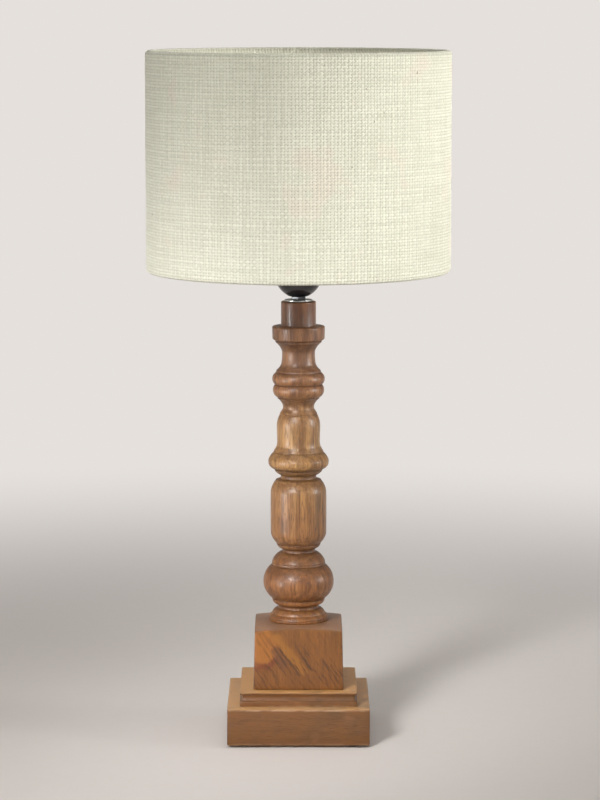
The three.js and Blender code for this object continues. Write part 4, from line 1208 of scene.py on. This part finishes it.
def woven(made, finish):
    recipe = Recipe("plain_weave", yarn_relief=YARN_RELIEF)
    place = recipe.add("GeometryNodeInputNamedAttribute", "Attribute", {"Name": "yarn_place"},
                       data_type="FLOAT_VECTOR")
    warp, weft, shown = recipe.axes(place)
    rounds = [recipe.math("ABSOLUTE", recipe.math("SINE", recipe.times(yarn, math.pi)))
              for yarn in (warp, weft)]
    lift = recipe.math("SUBTRACT", recipe.math("ADD", *rounds), 1.0)
    lift = recipe.times(lift, shown, recipe.size("yarn_relief"))
    lifted = recipe.shifted(recipe.scaled(recipe.add("GeometryNodeInputNormal"), lift))
    return recipe.apply(made, lifted, finish)


shade_cloth = woven(cloth_sheet(), jute.material)
settle(shade_cloth, "shade", "jute", "shade_fabric")

# %% [markdown]
# ## Metals, plastics and the other finishes
# The small parts are few colours but many surfaces. Steel is zinc plated and slightly milky,
# brass has darkened where fingers don't reach, the lampholder is glossy black resin with a
# faint orange-peel skin, and the wire frame wears a thin coat of ivory powder. Each finish is
# a base colour, a slow cloud that shifts it, and a fine relief that breaks the reflection.

# %% Finishes for the fittings
def worked(name, bright, dull, roughness, metallic, grit, depth, **sockets):
    finish = Finish(name, roughness=roughness, metallic=metallic, **sockets)
    cloud = finish.noise(finish.place, 140, 3)
    finish.colour(finish.mix(finish.between(cloud, 0.35, 0.65), dull, bright))
    fine = finish.noise(finish.place, grit, 3, 0.6)
    finish.roughness(finish.between(fine, 0.3, 0.7, roughness * 0.8, roughness * 1.25))
    finish.relief((fine, depth))
    return finish.material


zinc = worked("zinc_steel", tint(196, 198, 197), tint(158, 160, 160), 0.30, 1.0, 1400, 0.00002)
dark_steel = worked("dark_steel", tint(92, 94, 96), tint(58, 58, 60), 0.38, 1.0, 1600, 0.00003)
brass = worked("brass", tint(214, 176, 98), tint(160, 122, 60), 0.30, 1.0, 1200, 0.00002)
resin = worked("black_resin", tint(34, 34, 37), tint(22, 22, 25), 0.20, 0.0, 700, 0.00002, Coat_Weight=0.4)
porcelain = worked("porcelain", tint(233, 230, 221), tint(219, 214, 202), 0.28, 0.0, 500, 0.00003)
nylon = worked("black_nylon", tint(48, 42, 39), tint(36, 31, 29), 0.50, 0.0, 1100, 0.00005)
nickel = worked("nickel", tint(204, 203, 199), tint(168, 167, 164), 0.24, 1.0, 1300, 0.00002)
bead = worked("black_glass", tint(34, 30, 38), tint(22, 20, 26), 0.10, 0.0, 300, 0.00001)
bulb_shell = worked("bulb_plastic", tint(241, 241, 238), tint(231, 230, 226), 0.38, 0.0, 900, 0.00002)
frost = worked("bulb_frost", tint(250, 249, 243), tint(243, 241, 233), 0.45, 0.0, 1500, 0.00003,
               Subsurface_Weight=0.25, Subsurface_Radius=(0.004, 0.004, 0.003))
backing = worked("shade_backing", tint(240, 237, 226), tint(226, 222, 208), 0.55, 0.0, 260, 0.00008)
powder = worked("powder_coat", tint(233, 230, 222), tint(216, 212, 202), 0.42, 0.0, 1800, 0.00006)
beech = worked("dowel_wood", tint(206, 172, 130), tint(178, 142, 102), 0.6, 0.0, 900, 0.00008)

felt = Finish("felt", roughness=0.95, Sheen_Weight=0.4)
hairs = felt.noise(felt.place, 1600, 4, 0.7, 1.2)
felt.colour(felt.mix(felt.between(hairs, 0.35, 0.65), tint(44, 38, 33), tint(84, 74, 64)))
felt.relief((hairs, 0.0003))
print("finishes made")

# %% [markdown]
# ## The shade's inside: lining, hoops, spokes and fitter
# Behind the cloth lies a stiff pale lining that keeps the drum round. Two wire hoops hold its
# rims, and three spokes run in from the lower hoop to a flat ring, the fitter, which drops
# over the lampholder. The hoops and the lining are turned. One spoke is drawn along its wire,
# with hammered ends, and a recipe turns it into three.

# %% Lining and hoops
def ring_of_wire(name, centre, wire, height, finish, sides=192, round_steps=16):
    outline = [(centre + wire * math.cos(2 * math.pi * k / round_steps),
                wire * math.sin(2 * math.pi * k / round_steps)) for k in range(round_steps)]
    return turned(name, outline, sides, finish, height, closed=True, smooth_below=80)


LINING_WALL = 0.8 * MM
LINING_EDGE = 0.25 * MM
low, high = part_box("shade_lining")
wall, top = high.x, high.z - low.z
inner = wall - LINING_WALL
outline = [(inner, 0), (wall, 0), (wall, top / 2), (wall, top), (inner, top), (inner, top / 2)]
lining = turned("shade_backing_sheet", softened(outline, LINING_EDGE, closed=True), 192, backing,
                low.z, closed=True, smooth_below=50)
settle(lining, "shade", "lining", "shade_lining")

for name in ("bottom_hoop", "top_hoop"):
    low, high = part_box(name)
    wire = (high.z - low.z) / 2
    settle(ring_of_wire(name + "_wire", high.x - wire, wire, (low.z + high.z) / 2, powder),
           "shade", "coated_wire", name)

# %% Fitter ring
FITTER_HOLE = 20.6 * MM
FITTER_EDGE = 0.5 * MM
low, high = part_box("fitter_ring")
thick = high.z - low.z
outline = [(FITTER_HOLE, 0), (high.x, 0), (high.x, thick), (FITTER_HOLE, thick)]
fitter = turned("fitter", softened(outline, FITTER_EDGE, 4, closed=True), 96, powder, low.z,
                closed=True, smooth_below=50)
settle(fitter, "shade", "coated_wire", "fitter_ring")


# %% One spoke, then three
def wire_along(name, path, wire, flat_ends, round_steps=16):
    """A wire along points. Its ends are hammered flatter and wider by flat_ends, and closed."""
    points, rings = [], []
    last = len(path) - 1
    for k, here in enumerate(path):
        ahead = (path[min(k + 1, last)] - path[max(k - 1, 0)]).normalized()
        side = ahead.cross(Vector((0, 0, 1))).normalized()
        up = side.cross(ahead)
        near_end = max(0.0, 1 - min(k, last - k) / 3)
        wide, tall = wire * (1 + flat_ends * near_end), wire * (1 - flat_ends * near_end)
        rings.append(list(range(len(points), len(points) + round_steps)))
        for i in range(round_steps):
            angle = 2 * math.pi * i / round_steps
            points.append(here + side * wide * math.cos(angle) + up * tall * math.sin(angle))
    faces = []
    for low_ring, high_ring in zip(rings, rings[1:]):
        for i in range(round_steps):
            j = (i + 1) % round_steps
            faces.append((low_ring[i], low_ring[j], high_ring[j], high_ring[i]))
    faces += [tuple(reversed(rings[0])), tuple(rings[-1])]
    return piece(name, points, faces, None, 60)


def outward(made):
    """Turns every face of a closed piece to look out."""
    work = bmesh.new()
    work.from_mesh(made.data)
    bmesh.ops.recalc_face_normals(work, faces=work.faces)
    work.to_mesh(made.data)
    work.free()
    return made


SPOKE_WIRE = 1.6 * MM
SPOKE_STEPS = 24
FLATTENING = 0.12
low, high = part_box("spoke_1")
inner_end = Vector((low.y, 0, high.z - SPOKE_WIRE))
outer_end = Vector((high.y, 0, low.z + SPOKE_WIRE))
run = [inner_end.lerp(outer_end, k / SPOKE_STEPS) for k in range(SPOKE_STEPS + 1)]
spokes = outward(wire_along("spokes", run, SPOKE_WIRE, FLATTENING))
copies_round(spokes, "three_spokes", 3, math.pi / 2, powder)
settle(spokes, "shade", "coated_wire", "spoke_1", "spoke_2", "spoke_3")

# %% [markdown]
# ## The lampholder
# A domed black cap screws down on the pipe and a skirt screws into the cap. The skirt's flange
# carries the fitter, its threaded barrel takes the clamp ring, and a brass shell with a
# rounded thread holds the bulb. The threads are made by one recipe, which moves the skin of a
# finely ringed tube in and out along a helix.

# %% Tubes that are fine enough for a thread
def fine_side(radius, low, high, step):
    count = max(1, round((high - low) / step))
    return [(radius, low + (high - low) * k / count) for k in range(count + 1)]


# %% Cap
cap_low, cap_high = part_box("lampholder_cap")
CAP_BASE = 10
DOME_HEIGHT = 13.5
CAP_DOME_BULGE = 1.7
CAP_WALL = 2.2
CAP_LEDGE = 1.8
CAP_FLOOR = 3.6
cap_radius = cap_high.x / MM
cap_height = (cap_high.z - cap_low.z) / MM
cap_inside = cap_radius - CAP_WALL
outline = [(PIPE_HOLE, 0), (CAP_BASE, 0)]
outline += arc(outline[-1], (cap_radius, DOME_HEIGHT), CAP_DOME_BULGE, 16)
outline += [(cap_radius, cap_height), (cap_inside, cap_height), (cap_inside, DOME_HEIGHT),
            (cap_inside - CAP_LEDGE, DOME_HEIGHT), (CAP_BASE + 1, CAP_FLOOR), (PIPE_HOLE, CAP_FLOOR)]
outline = softened(outline, 0.5, 4, closed=True)
cap = turned("holder_cap", mm(outline), 96, resin, cap_low.z, closed=True)
settle(cap, "base", "bakelite", "lampholder_cap")

# %% Skirt with its threaded barrel
skirt_low, skirt_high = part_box("lampholder_skirt")
BARREL = 19.75
SHELL_ROOM = 14.4
CORE_ROOM = 17.3
SPIGOT = 20.0
FLANGE = 25
COLLAR_HEIGHT = 3.7
FLANGE_THICKNESS = 3.0
RESIN_CLEAR = 0.3
SHADE_PITCH = 2.5 * MM
SHADE_THREAD_DEPTH = 0.6 * MM
base = skirt_low.z / MM
collar_low = cap_high.z / MM + RESIN_CLEAR - base
flange_low = collar_low + COLLAR_HEIGHT
flange_high = flange_low + FLANGE_THICKNESS
core_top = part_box("lampholder_core")[1].z / MM + RESIN_CLEAR - base
skirt_top = skirt_high.z / MM - base
outline = [(CORE_ROOM, 0), (SPIGOT, 0), (SPIGOT, collar_low), (cap_radius, collar_low),
           (cap_radius, flange_low), (FLANGE, flange_low), (FLANGE, flange_high), (BARREL, flange_high)]
outline = softened(outline, 0.3) + fine_side(BARREL, flange_high + 1, skirt_top - 1, 0.3)
outline += [(BARREL - 0.8, skirt_top), (SHELL_ROOM + 0.6, skirt_top), (SHELL_ROOM, skirt_top - 0.6),
            (SHELL_ROOM, core_top), (CORE_ROOM, core_top)]
skirt = turned("holder_skirt", mm(outline), 120, resin, skirt_low.z, closed=True, smooth_below=50)
threaded(skirt, "shade_thread", SHADE_PITCH, SHADE_THREAD_DEPTH,
         skirt_low.z + (flange_high + 2) * MM, skirt_high.z - 1 * MM, resin)
settle(skirt, "base", "bakelite", "lampholder_skirt")

# %% Clamp ring, ribbed for the fingers
ring_low, ring_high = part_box("shade_clamp_ring")
RING_BORE = 20.1
RIBS = 40
RIB_DEPTH = 0.7 * MM
RIB_END = 0.9 * MM


def ribbed(made, name, ribs, depth, inside, low, high, finish):
    """Presses upright grooves into the outer wall between two heights."""
    recipe = Recipe(name, ribs=ribs, depth=depth, inner_wall=inside, low_end=low, high_end=high)
    x, y, z = recipe.position()
    wave = recipe.math("COSINE", recipe.times(recipe.math("ARCTAN2", y, x), recipe.size("ribs")))
    groove = recipe.math("MULTIPLY_ADD", wave, 0.5, -0.5)
    outside = recipe.math("GREATER_THAN", recipe.hypot(x, y), recipe.size("inner_wall"))
    above = recipe.math("GREATER_THAN", z, recipe.size("low_end"))
    below = recipe.math("LESS_THAN", z, recipe.size("high_end"))
    where = recipe.times(outside, recipe.times(above, below))
    amount = recipe.times(groove, where, recipe.size("depth"))
    return recipe.apply(made, recipe.shifted(recipe.away_from_axis(x, y, amount)), finish)


ring_top = (ring_high.z - ring_low.z) / MM
ring_radius = ring_high.x / MM
outline = softened([(RING_BORE, 0), (ring_radius, 0), (ring_radius, ring_top / 2), (ring_radius, ring_top),
                    (RING_BORE, ring_top)], 0.5, 4, closed=True)
clamp = turned("clamp_ring_ribbed", mm(outline), RIBS * 6, resin, ring_low.z, closed=True, smooth_below=60)
ribbed(clamp, "finger_ribs", RIBS, RIB_DEPTH, (ring_radius - 1.2) * MM, ring_low.z + RIB_END,
       ring_high.z - RIB_END, resin)
settle(clamp, "clamp_ring", "bakelite", "shade_clamp_ring")

# %% Screw shell, and the bulb's cap that turns in it
BULB_PITCH = 3.63 * MM
SHELL_WALL = 0.6
SHELL_THREAD_DEPTH = 0.45 * MM
BULB_THREAD_DEPTH = 1.1 * MM
BULB_TAIL = 10.5
shell_low, shell_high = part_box("screw_shell")
shell_radius, shell_top = shell_high.x / MM, (shell_high.z - shell_low.z) / MM
outline = fine_side(shell_radius, 0, shell_top, 0.35)
outline += fine_side(shell_radius - SHELL_WALL, shell_top, 0, 0.35)
shell = turned("screw_shell_thread", mm(outline), 96, None, shell_low.z, closed=True, smooth_below=60)
threaded(shell, "shell_thread", BULB_PITCH, SHELL_THREAD_DEPTH, shell_low.z, shell_high.z, brass)
settle(shell, "base", "brass", "screw_shell")

screw_low, screw_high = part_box("bulb_screw_cap")
cap_r, cap_h = screw_high.x / MM, (screw_high.z - screw_low.z) / MM
outline = [(0, 0), (BULB_TAIL, 0)] + fine_side(cap_r, cap_r - BULB_TAIL, cap_h - 0.6, 0.35)
outline += [(cap_r - 0.4, cap_h), (0, cap_h)]
bulb_cap = turned("bulb_cap_thread", mm(outline), 96, None, screw_low.z, smooth_below=60)
threaded(bulb_cap, "bulb_thread", BULB_PITCH, BULB_THREAD_DEPTH, screw_low.z + 3 * MM,
         screw_high.z - 1 * MM, nickel)
settle(bulb_cap, "bulb", "nickel", "bulb_screw_cap")

# %% [markdown]
# ## The bulb
# A household LED bulb: a white plastic housing that flares from the screw cap, and a frosted
# globe that is a little more than half a ball. Both are smooth turned shapes. A narrow
# rounded step where they meet keeps the dark joint line that the real one has.

# %% Housing and globe
housing_low, housing_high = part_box("bulb_housing")
housing_top = (housing_high.z - housing_low.z) / MM
rim = housing_high.x / MM
HOUSING_FOOT = 14.4
HOUSING_SWELL = 2.4
BULB_WALL = 1.4
outline = [(0, 0), (HOUSING_FOOT, 0), (HOUSING_FOOT, BULB_WALL)]
outline += arc(outline[-1], (rim, housing_top - 1), HOUSING_SWELL, 24)
outline += [(rim, housing_top), (rim - BULB_WALL, housing_top)]
outline += arc(outline[-1], (HOUSING_FOOT - BULB_WALL, 2 * BULB_WALL), -HOUSING_SWELL, 24)
outline += [(0, 2 * BULB_WALL)]
housing = turned("bulb_housing_shell", mm(softened(outline, 0.4)), 96, bulb_shell, housing_low.z)
settle(housing, "bulb", "bulb_plastic", "bulb_housing")

globe_low, globe_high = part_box("bulb_globe")
globe_r, globe_h = globe_high.x / MM, (globe_high.z - globe_low.z) / MM


def dome(radius, mouth, height, steps=28):
    """Half the outline of a ball that is cut off at its mouth."""
    centre = height - radius
    lowest = -math.asin(min(1, centre / radius))
    points = [(mouth, 0)]
    for k in range(1, steps):
        angle = lowest + (math.pi / 2 - lowest) * k / steps
        points.append((radius * math.cos(angle), centre + radius * math.sin(angle)))
    return points + [(0, height)]


inside = dome(globe_r - BULB_WALL, rim - BULB_WALL, globe_h - BULB_WALL)
outline = dome(globe_r, rim, globe_h) + list(reversed(inside))
globe = turned("bulb_globe_frosted", mm(outline), 96, frost, globe_low.z, closed=True)
settle(globe, "bulb", "bulb_frost", "bulb_globe")

# %% Insulator and tip
BEAD_FOOT = 4.8
TIP_CROWN = 0.9
TIP_HEIGHT = 1.5
low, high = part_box("bulb_insulator")
wide, top = high.x / MM, (high.z - low.z) / MM
outline = softened([(0, 0), (BEAD_FOOT, 0), (wide, top - 0.4), (wide, top), (0, top)], 0.4)
glass_bead = turned("bulb_glass_bead", mm(outline), 64, bead, low.z)
settle(glass_bead, "bulb", "black_glass", "bulb_insulator")
low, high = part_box("bulb_tip_contact")
wide = high.x / MM
outline = [(0, 0)] + arc((0, 0), (wide, TIP_CROWN), 0.35, 8) + [(wide, TIP_HEIGHT), (0, TIP_HEIGHT)]
tip = turned("bulb_tip", mm(softened(outline, 0.2)), 48, brass, low.z)
settle(tip, "bulb_lift", "brass", "bulb_tip_contact")

# %% [markdown]
# ## Fixings: nuts, washers, pipe, screws, bushing and pads
# These hold the lamp together. The nuts are hexagons whose corners are chamfered by the
# cutting tool, so the chamfer makes a curved line on each flat. The pipe's thread shows only
# at its tail, so only that end is given one. The four screws and four felt pads are each made
# once, and a recipe puts them at the corners.

# %% Nuts
CHAMFER_SLOPE = 0.5
CHAMFER_START = 0.08
CHAMFER_FLAT = 0.985
NUT_SIDES = 96
NO_LIMIT = 99


def hex_nut(name, node, finish, bore):
    """Rings from the bore over the chamfers to the flats. Its corners lie lower, as cut."""
    low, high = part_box(node)
    height = (high.z - low.z) / MM
    flats = min(high.x - low.x, high.y - low.y) / MM / 2

    def ring(limit, height_at):
        made = []
        for i in range(NUT_SIDES):
            angle = 2 * math.pi * i / NUT_SIDES
            side = flats / math.cos((angle + math.pi / 6) % (math.pi / 3) - math.pi / 6)
            radius = min(limit, side)
            made.append((radius * math.cos(angle) * MM, radius * math.sin(angle) * MM,
                         low.z + height_at(side - flats) * MM))
        return made

    face = flats * CHAMFER_FLAT
    rings = [ring(bore, lambda extra: 0), ring(face, lambda extra: 0),
             ring(NO_LIMIT, lambda extra: CHAMFER_START + extra * CHAMFER_SLOPE),
             ring(NO_LIMIT, lambda extra: height - CHAMFER_START - extra * CHAMFER_SLOPE),
             ring(face, lambda extra: height), ring(bore, lambda extra: height)]
    return skin(name, rings, finish, bore=bore * MM, smooth_below=25)


def washer(name, node, finish, bore):
    low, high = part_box(node)
    height, radius = (high.z - low.z) / MM, high.x / MM
    outline = softened([(bore, 0), (radius, 0), (radius, height), (bore, height)], 0.35, 4, closed=True)
    return turned(name, mm(outline), 96, finish, low.z, closed=True)


PIPE_CLEAR = 5.3
for shape, name, node, finish, slot_name in (
        (hex_nut, "base_nut_hex", "base_nut", zinc, "zinc_steel"),
        (hex_nut, "top_nut_hex", "top_nut", dark_steel, "dark_steel"),
        (washer, "base_washer_disc", "base_washer", zinc, "zinc_steel"),
        (washer, "top_washer_disc", "top_washer", zinc, "zinc_steel")):
    settle(shape(name, node, finish, PIPE_CLEAR), "base", slot_name, node)

# %% Pipe
PIPE_BORE = 3.8
PIPE_CHAMFER = 0.4
PIPE_PITCH = 1.0 * MM
PIPE_THREAD_DEPTH = 0.5 * MM
PIPE_THREAD_END = 12.5 * MM
low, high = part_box("threaded_pipe")
wide, length = high.x / MM, (high.z - low.z) / MM
outline = [(PIPE_BORE, 0), (wide - PIPE_CHAMFER, 0)] + fine_side(wide, 0.5, 12, 0.16)
outline += [(wide, length - 0.5), (wide - PIPE_CHAMFER, length), (PIPE_BORE, length)]
pipe = turned("pipe", mm(outline), 48, None, low.z, closed=True, smooth_below=70)
threaded(pipe, "pipe_thread", PIPE_PITCH, PIPE_THREAD_DEPTH, low.z, low.z + PIPE_THREAD_END, zinc)
settle(pipe, "base", "zinc_steel", "threaded_pipe")

# %% Screws with crossed slots
SCREW_SHANK = 2.1
SLOT_WIDTH = 0.9
SLOT_LENGTH = 5.0
SLOT_DEPTH = 1.3
low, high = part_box(screw_nodes[0])
length = (high.z - low.z) / MM
head = (high.x - low.x) / MM / 2
outline = [(0, 0), (head - 0.3, 0), (head, 0.3), (head, 0.9), (SCREW_SHANK, 2.6)]
outline += fine_side(SCREW_SHANK, 3.2, length - 5, 0.3) + [(0, length)]
screw = turned("plinth_screws", mm(outline), 32, None, low.z, smooth_below=50)


def slot_cutter(name, along_y, along_x, bottom):
    points = [(sx * along_x / 2 * MM, sy * along_y / 2 * MM, bottom + sz * MM)
              for sz in (-1, SLOT_DEPTH) for sy in (-1, 1) for sx in (-1, 1)]
    faces = [(0, 2, 3, 1), (4, 5, 7, 6), (0, 1, 5, 4), (2, 6, 7, 3), (0, 4, 6, 2), (1, 3, 7, 5)]
    return piece(name, points, faces)


cut_with(screw, [slot_cutter("slot_one", SLOT_WIDTH, SLOT_LENGTH, low.z),
                 slot_cutter("slot_two", SLOT_LENGTH, SLOT_WIDTH, low.z)])
copies_at_corners(screw, "four_screws", 2 * abs(middle(screw_nodes[0]).x), zinc)
settle(screw, "base", "zinc_steel", *screw_nodes)

# %% Felt pads, slightly domed by the lamp's weight
low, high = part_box(pad_nodes[0])
wide, top = (high.x - low.x) / MM / 2, (high.z - low.z) / MM
outline = softened([(0, 0), (wide - 0.2, 0), (wide, top / 2), (wide - 0.1, top), (0, top)], 0.4, 4)
pads = turned("felt_pads", mm(outline), 64, None, low.z)
copies_at_corners(pads, "four_pads", 2 * abs(middle(pad_nodes[0]).x), felt.material)
settle(pads, "base", "felt", *pad_nodes)

# %% Cord bushing
BUSHING_BORE = 3.2
BUSHING_SLEEVE = 4.2
BUSHING_RIM = 7.2
BUSHING_RIM_THICKNESS = 1.6
low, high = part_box("cord_bushing")
length = (high.y - low.y) / MM
under_rim = length - BUSHING_RIM_THICKNESS
outline = [(BUSHING_BORE, 0), (BUSHING_SLEEVE, 0), (BUSHING_SLEEVE, under_rim), (BUSHING_RIM, under_rim),
           (BUSHING_RIM, length), (BUSHING_BORE, length)]
bushing = turned("bushing", mm(softened(outline, 0.4, 4, closed=True)), 64, nylon, closed=True)
bushing.data.transform(LIE_ALONG_Y)
moved(bushing, 0, low.y, (low.z + high.z) / 2)
settle(bushing, "base", "nylon", "cord_bushing")

# %% [markdown]
# ## Pieces whose solid is already right
# The dowels, the porcelain core, the terminal screws, the grub screw and the spring contact
# sit inside other pieces. Their solids have the true shape, so they stay and only take a finish.

# %% Finishes for the solids that stay
KEPT = {
    "dowel_left": beech, "dowel_right": beech, "lampholder_core": porcelain, "cap_grub_screw": zinc,
    "terminal_screw_line": brass, "terminal_screw_neutral": brass, "centre_contact": brass,
}
for name, material in KEPT.items():
    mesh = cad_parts[name].data
    mesh.materials.clear()
    mesh.materials.append(material)
print("kept", sorted(KEPT))
